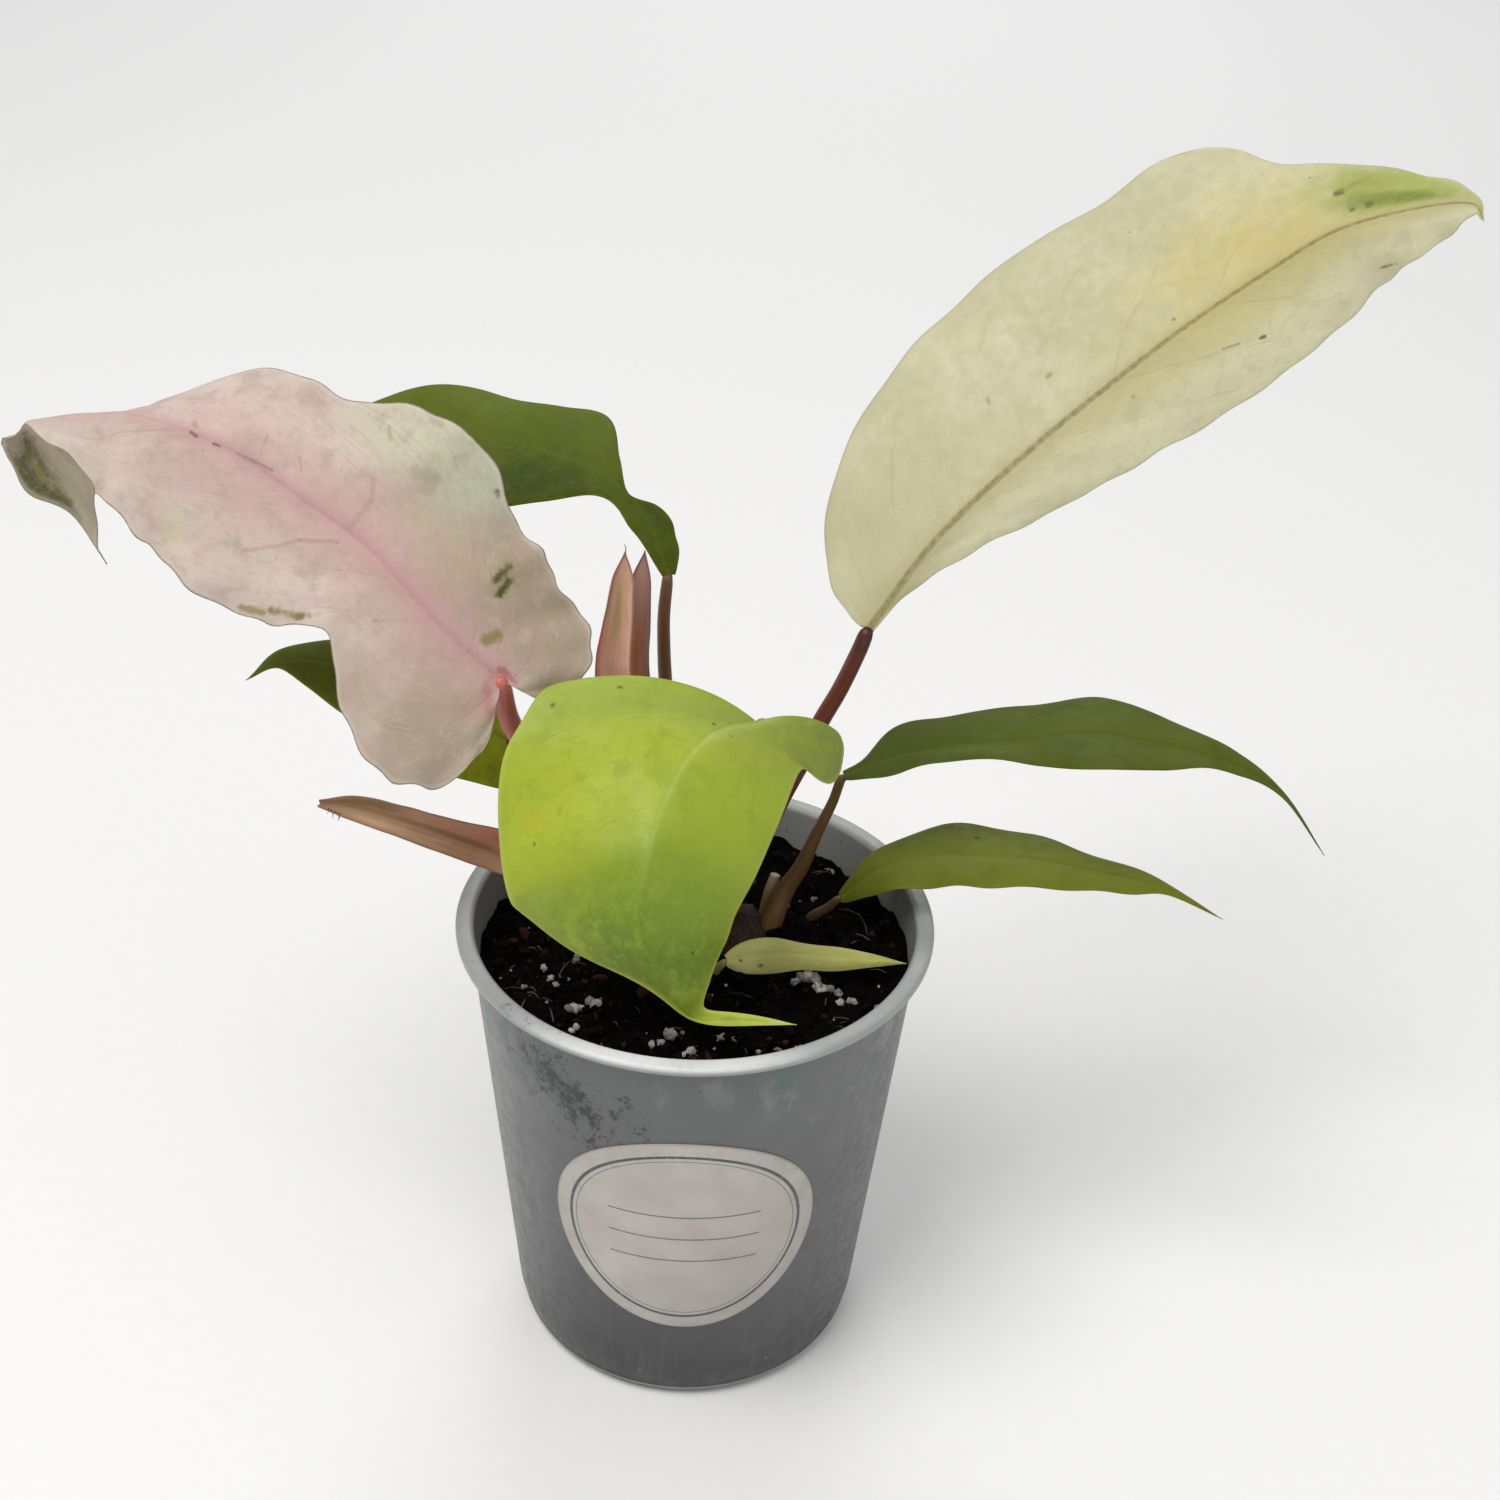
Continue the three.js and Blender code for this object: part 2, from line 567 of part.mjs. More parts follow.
// Filling of the pot, with pale grains joined to its top
function soilGeometry() {
  const random = seeded(SOIL_SEED);
  const points = [];
  const index = [];
  const bottom = POT_FLOOR + SOIL_GAP;
  const foot = POT_BASE_RADIUS - FOOT_FILLET - SOIL_GAP;
  const innerRadius = (z) => wallRadius(z) - POT_WALL - SOIL_GAP;
  const ring = (radius, height) => {
    for (let k = 0; k < SOIL_SEGMENTS; k += 1) {
      const angle = (2 * Math.PI * k) / SOIL_SEGMENTS;
      const x = radius * Math.cos(angle);
      const y = radius * Math.sin(angle);
      points.push(new THREE.Vector3(x, y, height ?? soilHeight(x, y) + SOIL_ROUGHNESS * random()));
    }
  };
  points.push(new THREE.Vector3(0, 0, bottom));
  ring(foot, bottom);
  ring(innerRadius(FOOT_FILLET), FOOT_FILLET + SOIL_GAP);
  for (let i = SOIL_RINGS; i >= 1; i -= 1) {
    ring((innerRadius(SOIL_LEVEL - 4) * i) / SOIL_RINGS);
  }
  points.push(new THREE.Vector3(0, 0, soilHeight(0, 0)));
  const rings = SOIL_RINGS + 2;
  for (let k = 0; k < SOIL_SEGMENTS; k += 1) {
    const next = (k + 1) % SOIL_SEGMENTS;
    index.push(0, 1 + next, 1 + k);
    for (let i = 0; i < rings - 1; i += 1) {
      const a = 1 + i * SOIL_SEGMENTS + k;
      const b = 1 + i * SOIL_SEGMENTS + next;
      index.push(a, b, b + SOIL_SEGMENTS, a, b + SOIL_SEGMENTS, a + SOIL_SEGMENTS);
    }
    const a = 1 + (rings - 1) * SOIL_SEGMENTS;
    index.push(a + k, a + next, points.length - 1);
  }
  const geometry = new THREE.BufferGeometry();
  geometry.setFromPoints(points);
  geometry.setIndex(index);
  let soil = toSolid(geometry);
  for (let k = 0; k < PERLITE_GRAINS; k += 1) {
    const angle = 2 * Math.PI * random();
    const radius = THREE.MathUtils.lerp(...PERLITE_RING, random());
    const size = THREE.MathUtils.lerp(...PERLITE_SIZE, random());
    const x = radius * Math.cos(angle);
    const y = radius * Math.sin(angle);
    const clear = STEM_HOLES.every(([hx, hy, reach]) => Math.hypot(x - hx, y - hy) > reach + size);
    const grain = new THREE.OctahedronGeometry(size).rotateX(random()).rotateY(random());
    grain.translate(x, y, soilHeight(x, y));
    if (clear) {
      soil = soil.add(toSolid(grain));
    }
  }
  return soil;
}

// Short stem; the same shape grown by the gap and left tall makes its hole
function crownGeometry(gap = 0, top = CROWN_TOP) {
  const profile = [[0, CROWN_BOTTOM - gap], [6, CROWN_BOTTOM - gap],
    [CROWN_RADIUS - 1.5 + gap, CROWN_BOTTOM + 6], [CROWN_RADIUS + gap, CROWN_TOP - 5],
    [CROWN_RADIUS - 1 + gap, top - 1.5], [CROWN_RADIUS - 4 + gap, top],
    [0, top]].map(([x, y]) => new THREE.Vector2(x, y));
  const lathe = new THREE.LatheGeometry(profile, 20).rotateX(Math.PI / 2).scale(CROWN_STRETCH, 1, 1);
  return lathe.translate(CROWN_CENTRE[0], CROWN_CENTRE[1], 0);
}

// Finish of each kind of piece
function finish(colour, roughness) {
  return new THREE.MeshStandardMaterial({ color: colour, roughness, metalness: 0 });
}

const FINISHES = {
  pot: finish(0xa8adac, 0.35),
  label: finish(0xd9d2cf, 0.55),
  soil: finish(0x1c1713, 0.95),
  crown: finish(0x6b5a2e, 0.6),
  leaf_cream: finish(0xd8d3ab, 0.4),
  leaf_pink: finish(0xcdb8ad, 0.4),
  leaf_lime: finish(0xa6c23c, 0.38),
  leaf_green: finish(0x5f7530, 0.4),
  leaf_pale: finish(0xb9bd7c, 0.45),
  sheath: finish(0xb07a72, 0.5),
  stalk_red: finish(0x6a2f26, 0.45),
  stalk_pink: finish(0xc07a74, 0.45),
  stalk_green: finish(0x7b6a3a, 0.5),
};

const BLADE_FINISH = {
  leaf_cream: 'leaf_cream',
  leaf_pink: 'leaf_pink',
  leaf_lime: 'leaf_lime',
  leaf_small: 'leaf_pale',
  sheath_upright_outer: 'sheath',
  sheath_upright_inner: 'sheath',
  sheath_left: 'sheath',
};

const STALK_FINISH = {
  stalk_cream: 'stalk_red',
  stalk_pink: 'stalk_pink',
  stalk_back: 'stalk_red',
};

const plant = new THREE.Group();

function addPiece(name, geometry, finishName) {
  const mesh = new THREE.Mesh(geometry, FINISHES[finishName]);
  mesh.name = name;
  plant.add(mesh);
}

let soil = soilGeometry();
let crown = toSolid(crownGeometry());
soil = soil.subtract(toSolid(crownGeometry(FIT_GAP, CROWN_TOP + CROWN_HOLE_RISE)));
for (const spec of Object.values(STALKS)) {
  const cutter = toSolid(stalkGeometry(spec, FIT_GAP));
  soil = soil.subtract(cutter);
  crown = crown.subtract(cutter);
}

addPiece('pot', potGeometry(), 'pot');
addPiece('label', labelGeometry(), 'label');
addPiece('soil', toGeometry(soil), 'soil');
addPiece('crown', toGeometry(crown), 'crown');
for (const [name, spec] of Object.entries(BLADES)) {
  addPiece(name, bladeGeometry(spec), BLADE_FINISH[name] ?? 'leaf_green');
}
for (const [name, spec] of Object.entries(STALKS)) {
  let stalk = toSolid(stalkGeometry(spec));
  if (spec.blade) {
    stalk = stalk.subtract(toSolid(bladeGeometry(BLADES[spec.blade], FIT_GAP)));
  }
  addPiece(name, toGeometry(stalk), STALK_FINISH[name] ?? 'stalk_green');
}

export default plant;
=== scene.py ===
import math
import random
from types import SimpleNamespace

import bmesh
import bpy
import numpy as np
from mathutils import Matrix, Vector, noise


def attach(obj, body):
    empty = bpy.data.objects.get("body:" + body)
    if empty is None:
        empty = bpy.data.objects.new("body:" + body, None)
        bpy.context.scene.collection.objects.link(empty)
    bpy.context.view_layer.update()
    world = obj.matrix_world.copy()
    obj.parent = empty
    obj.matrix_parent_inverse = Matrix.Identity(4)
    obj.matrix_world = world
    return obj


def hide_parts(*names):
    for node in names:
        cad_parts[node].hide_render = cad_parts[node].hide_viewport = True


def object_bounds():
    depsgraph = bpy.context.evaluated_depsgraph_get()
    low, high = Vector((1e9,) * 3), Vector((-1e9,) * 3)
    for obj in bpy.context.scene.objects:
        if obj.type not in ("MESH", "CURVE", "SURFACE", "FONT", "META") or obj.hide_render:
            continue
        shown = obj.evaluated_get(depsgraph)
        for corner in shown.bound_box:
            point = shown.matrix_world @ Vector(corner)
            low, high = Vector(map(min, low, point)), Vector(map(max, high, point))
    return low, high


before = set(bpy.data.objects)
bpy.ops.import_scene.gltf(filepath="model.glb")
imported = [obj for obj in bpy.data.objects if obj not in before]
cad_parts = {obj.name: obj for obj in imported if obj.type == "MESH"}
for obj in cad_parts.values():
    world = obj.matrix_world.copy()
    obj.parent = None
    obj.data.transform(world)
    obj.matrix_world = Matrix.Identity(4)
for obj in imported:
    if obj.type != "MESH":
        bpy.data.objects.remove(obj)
cad_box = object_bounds()

# A young philodendron in a frosted nursery pot. Lengths in the tables and in the
# shape functions are millimetres; meshes are made in metres.
MM = 0.001
cad_low, cad_high = np.array(cad_box) / MM

# Pot, label and potting mix, as in the solids
POT_HEIGHT = 125.5
POT_BASE_RADIUS = 46.2
POT_TOP_RADIUS = 56.6
POT_WALL = 1.2
POT_FLOOR = 1.6
FOOT_FILLET = 5.0
LIP_RADIUS = 60.0
LIP_DEPTH = 2.2
DRAIN_HOLE_RADIUS = 3.5
DRAIN_RING_RADIUS = 30.0
DRAIN_HOLES = 6
LABEL_RADIUS = 34.0
LABEL_HEIGHT = 64.0
LABEL_ANGLE = -0.8
LABEL_RING = 29.5
LABEL_INNER_RING = 28.0
LINE_SPACING = 8.0
SOIL_LEVEL = 113.6
CROWN_CENTRE = (5.0, 11.0)
CROWN_RADIUS = 13.0
CROWN_STRETCH = 1.3
CROWN_MIDDLE = 110.0
CROWN_HALF_HEIGHT = 6.6

# Finer make: sheet thicknesses, the gap kept to the box of the solids, and how much
# lies on the mix
BLADE_THICKNESS = 0.42
SHEATH_THICKNESS = 0.6
RIB_GROOVE = 0.35
BOX_GAP = 0.05
CHIPS, CRUMBS, SMALL_GRAINS, FIBRES = 620, 2300, 70, 90

# The same tables as in the solids. A blade is a sheet of rows that leave a midrib:
# width is the row's length, sweep its angle from the midrib, fold its lift at the
# midrib and curl its further bend, left half first; crowd gathers rows at the base,
# keel is how far the midrib stands out below. A side list turns the sheet about the
# midrib point by point, and face does it for the whole blade.
BLADES = {
    "leaf_cream": dict(
        rib=[[40, 22, 196], [55, 30, 216], [74, 38, 234], [92, 44, 249], [112, 49, 265], [130, 52, 278],
            [144, 52, 288], [158, 46, 295], [168, 38, 299], [171, 35, 296]], face=[-0.3, -0.75, 0.6],
        crowd=1.25, keel=1.6,
        width=[[2, 15.5, 28.5, 37, 41, 42.5, 39, 38.5, 22, 13.5, 8, 2, 0], [1.5, 2.5, 8, 14, 19.5, 23, 26,
            25, 21, 15.5, 9, 2.5, 0]],
        sweep=[[120, 122, 105, 92, 84, 78, 72, 66, 60, 54, 44], [100, 92, 80, 74, 70, 66, 62, 58, 52, 46,
            40]],
        fold=[[6, 6, 6, 6, 5, 5, 5, 4, 0, 0, 0], [-30, -30, -28, -26, -24, -24, -22, -20, -10, 0, 0]],
        curl=[[-10, -12, -14, -14, -14, -14, -12, -10, -10, -10, 0], [-20, -20, -20, -20, -20, -20, -20,
            -20, -20, -10, 0]]),
    "leaf_pink": dict(
        rib=[[-46, -8, 195], [-61, -4, 208], [-76, 4, 221], [-92, 11, 230], [-110, 16, 240], [-129, 18,
            246], [-141, 20, 245], [-156, 25, 241], [-158, 30, 236], [-157, 31, 226], [-151, 30, 217],
            [-144, 27, 204]],
        side=[[0, 0.55, 0.85], [0, 0.55, 0.85], [0, 0.55, 0.85], [0, 0.55, 0.85], [0, 0.55, 0.85], [0,
            0.55, 0.85], [0, 0.55, 0.85], [0.35, 0.75, 0.5], [0.9, 0.45, 0.1], [1, 0.2, 0], [1, 0.2, 0],
            [1, 0.1, 0]], crowd=1.6, keel=1.5,
        width=[[12, 23, 32.5, 34, 30, 20.5, 25, 30, 31, 28, 22, 17.5, 8, 0.7, 6.3, 6.5, 1.5, 0], [9, 19.5,
            27, 27, 29, 30, 35, 30.5, 24, 23.5, 13, 8, 8, 6, 8, 11, 5.5, -2]],
        sweep=[[121, 112, 102, 94, 88, 84, 80, 76, 75, 80, 100, 80, 60], [165, 135, 116, 104, 96, 90, 84,
            78, 72, 70, 80, 75, 60]],
        fold=[[0, 0, 0, 0, 0, 0, 0, 0, 0, 0, 0, 0, 0], [4, 4, 4, 4, 4, 4, 0, -30, -80, -60, -10, 0, 0]],
        curl=[[0, 0, 0, 0, 0, 0, 0, 0, 0, 0, 0, 0, 0], [0, 0, 0, 0, 0, 0, -20, -40, -40, -30, 0, 0, 0]]),
    "leaf_lime": dict(
        rib=[[13, -1, 182], [6, -9, 185], [0, -18, 186], [-5, -27, 183], [-9, -36, 177], [-11, -43, 171],
            [-13, -48, 161], [-11, -50, 149], [-5, -48, 137], [0, -45, 128], [12, -44, 127], [24, -45,
            127]], face=[-0.3, -0.6, 0.75], crowd=1.3, keel=1.2,
        width=[[22, 29.5, 32.5, 27.5, 25.5, 27, 29, 30.5, 31.5, 31.5, 29.5, 27.5, 23.5, 14, 4.5, 3.5, 2,
            0], [46, 50, 49.5, 48, 46, 43.5, 41, 39.2, 37, 23.5, 7, 2, 2, 1.5, 0]],
        sweep=[[145, 144, 142, 140, 138, 128, 118, 108, 98, 86, 74, 60, 50, 44, 44, 44, 44, 44], [36, 34,
            36, 44, 49, 54, 60, 64, 61, 60, 56, 52, 50, 50, 50]],
        fold=[[44, 31, 13, -3, -6, -24, -34, -42, -47, -52, -53, -48, -36, -22, -10, 0, 0, 0], [24, 16,
            14, 15, 18, 15, 12, 4, 3, 0, -4, 0, 0, 0, 0]],
        curl=[[-70, -70, -60, -35, -25, -20, -20, -20, -20, -18, -15, -10, -5, 0, 0, 0, 0, 0], [-55, -50,
            -45, -42, -40, -38, -36, -34, -30, -24, -14, -6, 0, 0, 0]]),
    "leaf_back": dict(
        rib=[[-9, 27, 206], [-12, 30, 213], [-16, 34, 219], [-26, 40, 226], [-41, 47, 229], [-57, 52,
            230], [-75, 56, 229], [-91, 58, 225], [-104, 57, 220]], face=[-0.1, -0.5, 0.85], crowd=1.2,
        keel=1,
        width=[[1.5, 2.5, 3.5, 4.5, 4.5, 13, 22, 21, 15, 8, 0], [1.5, 3, 4.5, 5, 5.5, 4.5, 0.8, 7, 17.5,
            15.5, 15, 17, 17.5, 15, 10, 5, 0]],
        sweep=[[110, 100, 95, 88, 82, 76, 70, 62, 54, 44], [110, 100, 95, 92, 90, 88, 82, 74, 64, 54,
            44]], fold=2 * [[0, 0]], curl=2 * [[-20, -20]]),
    "leaf_left": dict(
        rib=[[-47, 16, 164], [-60, 19, 170], [-75, 22, 177], [-89, 24, 180], [-103, 25, 180], [-113, 24,
            174.8]], face=[-0.1, -0.5, 0.85], crowd=1.2, keel=1,
        width=[[13, 14, 16, 15, 12.5, 7.5, 1.4, 0], [4, 6, 8, 9.5, 9, 7, 4, 0]],
        sweep=2 * [[135, 115, 98, 88, 80, 70, 60, 50]], fold=2 * [[0, 0]], curl=2 * [[-20, -20]]),
    "leaf_right_upper": dict(
        rib=[[36, 15, 158], [48, 14, 164], [62, 12, 169], [78, 10, 172], [94, 8, 176], [111, 6, 175],
            [127, 4, 172], [142, 2, 164], [155, 0, 148]], face=[0.1, -0.1, 1], crowd=1.2, keel=1,
        width=[[1.5, 4, 13, 14, 15, 16, 16.5, 14, 9.5, 5.5, 2.5, 0], [1.5, 5.5, 7.5, 7, 7, 12, 18, 13, 8,
            4, 2, 0]], sweep=2 * [[110, 100, 88, 82, 78, 74, 68, 60, 52, 46, 40]], fold=2 * [[12, 12]],
        curl=[[-25, -25], [-15, -15]]),
    "leaf_right_lower": dict(
        rib=[[37, 10, 124], [46, 10, 133], [59, 9, 138], [72, 7, 140], [87, 4, 141], [102, 1, 140], [116,
            -2, 138], [131, -6, 132]], face=[0.1, -0.1, 1], crowd=1.2, keel=0.8,
        width=[[1.5, 5, 8, 12, 13, 11, 8, 5.5, 3, 0], [1.5, 5.5, 9, 11, 11.5, 11, 9, 6.5, 2, 0]],
        sweep=2 * [[105, 95, 86, 80, 76, 70, 64, 56, 48, 40]], fold=[[10, 10], [5, 5]],
        curl=2 * [[-20, -20]]),
    "leaf_small": dict(
        rib=[[8, -11, 119], [16, -10.5, 120.5], [25, -10.5, 121], [34, -11.5, 121], [44, -12, 121], [52.5,
            -12.5, 120.5]], face=[0, -0.6, 0.8], crowd=1.2, keel=0.3,
        width=[[1.5, 4.5, 5, 3.5, 3.5, 2, 0], [1.5, 4.5, 5, 4, 3.5, 2, 0]],
        sweep=2 * [[110, 95, 86, 78, 70, 56, 40]], fold=2 * [[0, 0]], curl=2 * [[-40, -40]]),
    "sheath_upright_outer": dict(
        rib=[[-4, 14.5, 119], [-11, 14.5, 141], [-17.5, 14, 163], [-22.5, 14, 185], [-21, 14, 204], [-19,
            14, 218]], side=2 * [[1, 0, 0]], crowd=1, keel=0,
        width=[[3, 3.6, 4, 4.3, 4.5, 4.6, 4.4, 3.7, 3.1, 2.6, 0], [3, 3.6, 4.2, 4.8, 5.4, 6, 6.2, 5.8,
            4.9, 3.6, 0]], sweep=2 * [[90, 85, 75, 50]], fold=2 * [[0, 0]], curl=[[70, 70], [50, 50]]),
    "sheath_upright_inner": dict(
        rib=[[1.5, 17, 119], [-5.5, 18, 141], [-12, 17.5, 163], [-17, 17, 184], [-16, 17, 202], [-14.5,
            17, 217]], side=2 * [[1, 0, 0]], crowd=1, keel=0,
        width=[[2.5, 3, 3.4, 3.8, 4, 4, 4, 3.8, 3.3, 2.5, 0], [2.5, 3, 3.6, 4.2, 4.9, 5.2, 5.1, 4.7, 3.9,
            2.9, 0]], sweep=2 * [[90, 85, 75, 50]], fold=2 * [[0, 0]], curl=[[30, 30], [60, 60]]),
    "sheath_left": dict(
        rib=[[-6, 1, 121.5], [-17, 0, 127], [-31, -2, 136], [-49, -6, 146], [-71, -8, 155], [-90, -8,
            160]], side=2 * [[0, 0.55, 0.85]], crowd=1, keel=0,
        width=[[3.5, 4.6, 5.2, 5.6, 6, 6.2, 6.1, 5.5, 4.4, 3.1, 1.2], [3.5, 4.6, 5.4, 6.2, 7, 7.4, 7.2,
            5.8, 5.6, 5.4, 1.2]], sweep=2 * [[90, 90, 80, 60]], fold=2 * [[0, 0]], curl=2 * [[70, 70]]),
}

# Stalks: points of the centre line, and the radius at even steps
STALKS = {
    "stalk_cream": dict(
        path=[[5.5, 14.5, 106], [7.5, 16, 114], [11.3, 18.5, 126], [17, 20, 137], [21.5, 21, 148], [26,
            22, 158], [29.6, 23, 168], [34, 23, 178], [37.7, 22, 189], [39.2, 21.6, 194.2]],
        radius=[3, 2.8, 2.6, 2.4, 2.3, 2.2, 2.2, 2.1, 2, 1.8], blade="leaf_cream"),
    "stalk_pink": dict(
        path=[[-4, 5, 106], [-11, 7, 130], [-26, 4, 153], [-43, -2.5, 177], [-46, -7.2, 193.2]],
        radius=[3, 3, 2.8, 2.6, 2.1], blade="leaf_pink"),
    "stalk_lime": dict(
        path=[[5, 7, 106], [9, 9, 130], [15, 9, 155], [18.4, 6.5, 173.2], [14.8, 1, 180]],
        radius=[2.8, 2.6, 2.3, 2.1, 1.8], blade="leaf_lime"),
    "stalk_back": dict(
        path=[[1.5, 21, 106], [-3, 22, 140], [-8.4, 23, 170], [-10, 24.5, 192], [-9.4, 26, 204.2]],
        radius=[2.2, 1.9, 1.8, 1.6, 1.4], blade="leaf_back"),
    "stalk_left": dict(
        path=[[-7.5, 10.5, 106], [-17, 12, 130], [-32, 15, 150], [-46, 15.8, 162.6]],
        radius=[2.2, 2, 1.8, 1.5], blade="leaf_left"),
    "stalk_right_upper": dict(
        path=[[17, 7.5, 106], [20, 11, 116], [23, 14, 123], [26.8, 15, 130], [30, 16, 139], [33.6, 16,
            149], [35.2, 15.2, 156.2]], radius=[3, 2.8, 2.4, 2, 1.6, 1.3, 1.2], blade="leaf_right_upper"),
    "stalk_right_lower": dict(
        path=[[28, 15, 106], [30, 14, 114], [34, 12, 119], [36.3, 10.4, 122.9]],
        radius=[1.5, 1.4, 1.2, 1], blade="leaf_right_lower"),
    "stalk_small": dict(
        path=[[4, -9, 106], [5, -10, 114], [7, -10.9, 117.7]], radius=[1.3, 1.3, 1], blade="leaf_small"),
    "old_stub": dict(
        path=[[17, 14.8, 108], [18.2, 16.4, 114], [19.2, 17.2, 119.5], [20.3, 18, 124.8]],
        radius=[1.7, 1.8, 1.8, 1.3]),
}

# Finer make of each blade: mesh rows and columns of one half, rows over which the
# margins are evened, primary veins of one half, how far a vein runs forward on its way
# to the margin and the power of that bend, depth of the puckers, height and scale of
# the dimples, margin waves and scallops as (half, height, cycles, phase), dents as
# (half, row, reach, height)
FINE = {
    "leaf_cream": dict(
        rows=220, columns=44, veins=9, bend=0.2, power=1.2, pucker=0.12, dimple=(0.22, 0.05),
        waves=[(0, 0.9, 4.3, 0.1), (0, 0.5, 9.1, 0.4), (1, 0.7, 5.2, 0.3), (1, 0.4, 11.0, 0.8)],
        scallop=[(0, 0.25, 13.0, 0.2), (1, 0.3, 15.0, 0.6)]),
    "leaf_pink": dict(
        rows=260, columns=44, veins=7, bend=0.27, power=1.2, pucker=0.3, dimple=(0.6, 0.07),
        waves=[(0, 1.1, 7.3, 0.0), (0, 0.5, 15.0, 0.3), (1, 1.0, 8.1, 0.5), (1, 0.5, 17.0, 0.1)],
        scallop=[(0, 0.5, 11.0, 0.2), (0, 0.3, 23.0, 0.7), (1, 0.5, 12.0, 0.4), (1, 0.3, 25.0, 0.1)],
        dents=[(0, 0.118, 0.016, -1.2), (0, 0.152, 0.012, 0.6), (0, 0.088, 0.012, 0.5)]),
    "leaf_lime": dict(
        rows=240, columns=44, even=7, veins=7, bend=0.14, power=1.5, pucker=0.12, dimple=(0.35, 0.06),
        waves=[(0, 0.3, 4.1, 0.3), (1, 0.4, 5.3, 0.7), (1, 0.2, 11.0, 0.2)],
        scallop=[(1, 0.15, 9.0, 0.2)]),
    "leaf_back": dict(
        rows=160, columns=28, veins=7, bend=0.12, power=1.4, pucker=0.2, dimple=(0.3, 0.07),
        waves=[(0, 0.5, 5.0, 0.3), (1, 0.5, 6.3, 0.7)]),
    "leaf_left": dict(
        rows=140, columns=26, veins=7, bend=0.12, power=1.4, pucker=0.2, dimple=(0.2, 0.07),
        waves=[(0, 0.4, 4.0, 0.3), (1, 0.4, 5.3, 0.7)]),
    "leaf_right_upper": dict(
        rows=170, columns=26, veins=8, bend=0.12, power=1.4, pucker=0.18, dimple=(0.25, 0.07),
        waves=[(0, 0.4, 5.0, 0.3), (1, 0.4, 6.3, 0.7)]),
    "leaf_right_lower": dict(
        rows=150, columns=24, veins=7, bend=0.12, power=1.4, pucker=0.18, dimple=(0.25, 0.07),
        waves=[(0, 0.4, 5.0, 0.3), (1, 0.4, 6.3, 0.7)]),
    "leaf_small": dict(
        rows=110, columns=16, veins=5, bend=0.1, power=1.4, pucker=0.1, dimple=(0.15, 0.12),
        waves=[(0, 0.2, 3.0, 0.3), (1, 0.2, 3.3, 0.7)]),
    "sheath_upright_outer": dict(
        rows=150, columns=18, waves=[(0, 0.2, 3.0, 0.3), (1, 0.2, 4.3, 0.7)]),
    "sheath_upright_inner": dict(
        rows=150, columns=18, waves=[(0, 0.2, 3.3, 0.1), (1, 0.2, 4.0, 0.5)]),
    "sheath_left": dict(
        rows=150, columns=18, waves=[(0, 0.3, 3.3, 0.1), (1, 0.3, 4.0, 0.5)]),
}
PLAIN = dict(even=0, veins=0, bend=0, power=1, pucker=0, dimple=(0.12, 0.2), scallop=[], dents=[])


# Shape helpers
def through(values, u):
    """Smooth curve through evenly spaced numbers or points."""
    v = np.asarray(values, float)
    flat = v.ndim == 1
    v = v[:, None] if flat else v
    ends = np.vstack([2 * v[0] - v[1], v, 2 * v[-1] - v[-2]])
    x = np.clip(np.asarray(u, float), 0, 1) * (len(v) - 1)
    i = np.minimum(x.astype(int), len(v) - 2)
    t = (x - i)[..., None]
    a, b, c, d = ends[i], ends[i + 1], ends[i + 2], ends[i + 3]
    out = b + 0.5 * t * (c - a) + t * t * (a - 2.5 * b + 2 * c - 0.5 * d)
    out = out + 0.5 * t ** 3 * (3 * (b - c) + d - a)
    return out[..., 0] if flat else out


def unit(v):
    return v / np.maximum(np.linalg.norm(v, axis=-1, keepdims=True), 1e-9)


def blade_frame(spec, u):
    """Directions along the midrib, to its right and out of the sheet."""
    step = 0.001
    ahead, behind = (through(spec["rib"], np.clip(u + move, 0, 1)) for move in (step, -step))
    along = unit(ahead - behind)
    if "side" in spec:
        side = through(spec["side"], u)
        right = unit(side - (along * side).sum(1)[:, None] * along)
    else:
        right = unit(np.cross(along, np.array(spec["face"], float)))
    return along, right, np.cross(right, along)


def ripple(terms, half, r):
    """Sum of the waves of one half, at rows r."""
    total = np.zeros_like(r)
    for side, height, cycles, phase in terms:
        if side == half:
            total += height * np.sin(2 * np.pi * (cycles * r + phase))
    return total


def blade_half(spec, fine, r, half, reach, tip=0.12):
    """Points of one half: rows r, reach from 0 at the midrib to 1 at the margin."""
    u = r ** spec["crowd"]
    along, right, out = blade_frame(spec, u)
    sign = -1 if half == 0 else 1
    width = np.maximum(through(spec["width"][half], r), tip)
    soft = np.minimum(1, width / 8)
    scallop = ripple(fine["scallop"], half, r) * soft
    for side, at, wide, height in fine["dents"]:
        if side == half:
            scallop += height * np.exp(-((r - at) / wide) ** 2)
    sweep, fold, curl = (np.radians(through(spec[key][half], r)) for key in ("sweep", "fold", "curl"))
    curl = np.where(np.abs(curl) < 1e-4, 1e-4, curl)
    rib = through(spec["rib"], u)
    t = reach[None, :] * (1 + scallop[:, None] / width[:, None] * reach[None, :] ** 3)
    away = (np.sin(fold[:, None] + curl[:, None] * t) - np.sin(fold)[:, None]) / curl[:, None]
    lift = (np.cos(fold)[:, None] - np.cos(fold[:, None] + curl[:, None] * t)) / curl[:, None]
    w = width[:, None]
    wave = ripple(fine["waves"], half, r)[:, None] * soft[:, None] * reach[None, :] ** 3
    rows = np.cos(sweep)[:, None] * along + sign * np.sin(sweep)[:, None] * right
    points = rib[:, None] + (w * away)[..., None] * rows[:, None]
    return points + (w * lift + wave)[..., None] * out[:, None], width


def smooth(x):
    x = np.clip(x, 0, 1)
    return x * x * (3 - 2 * x)


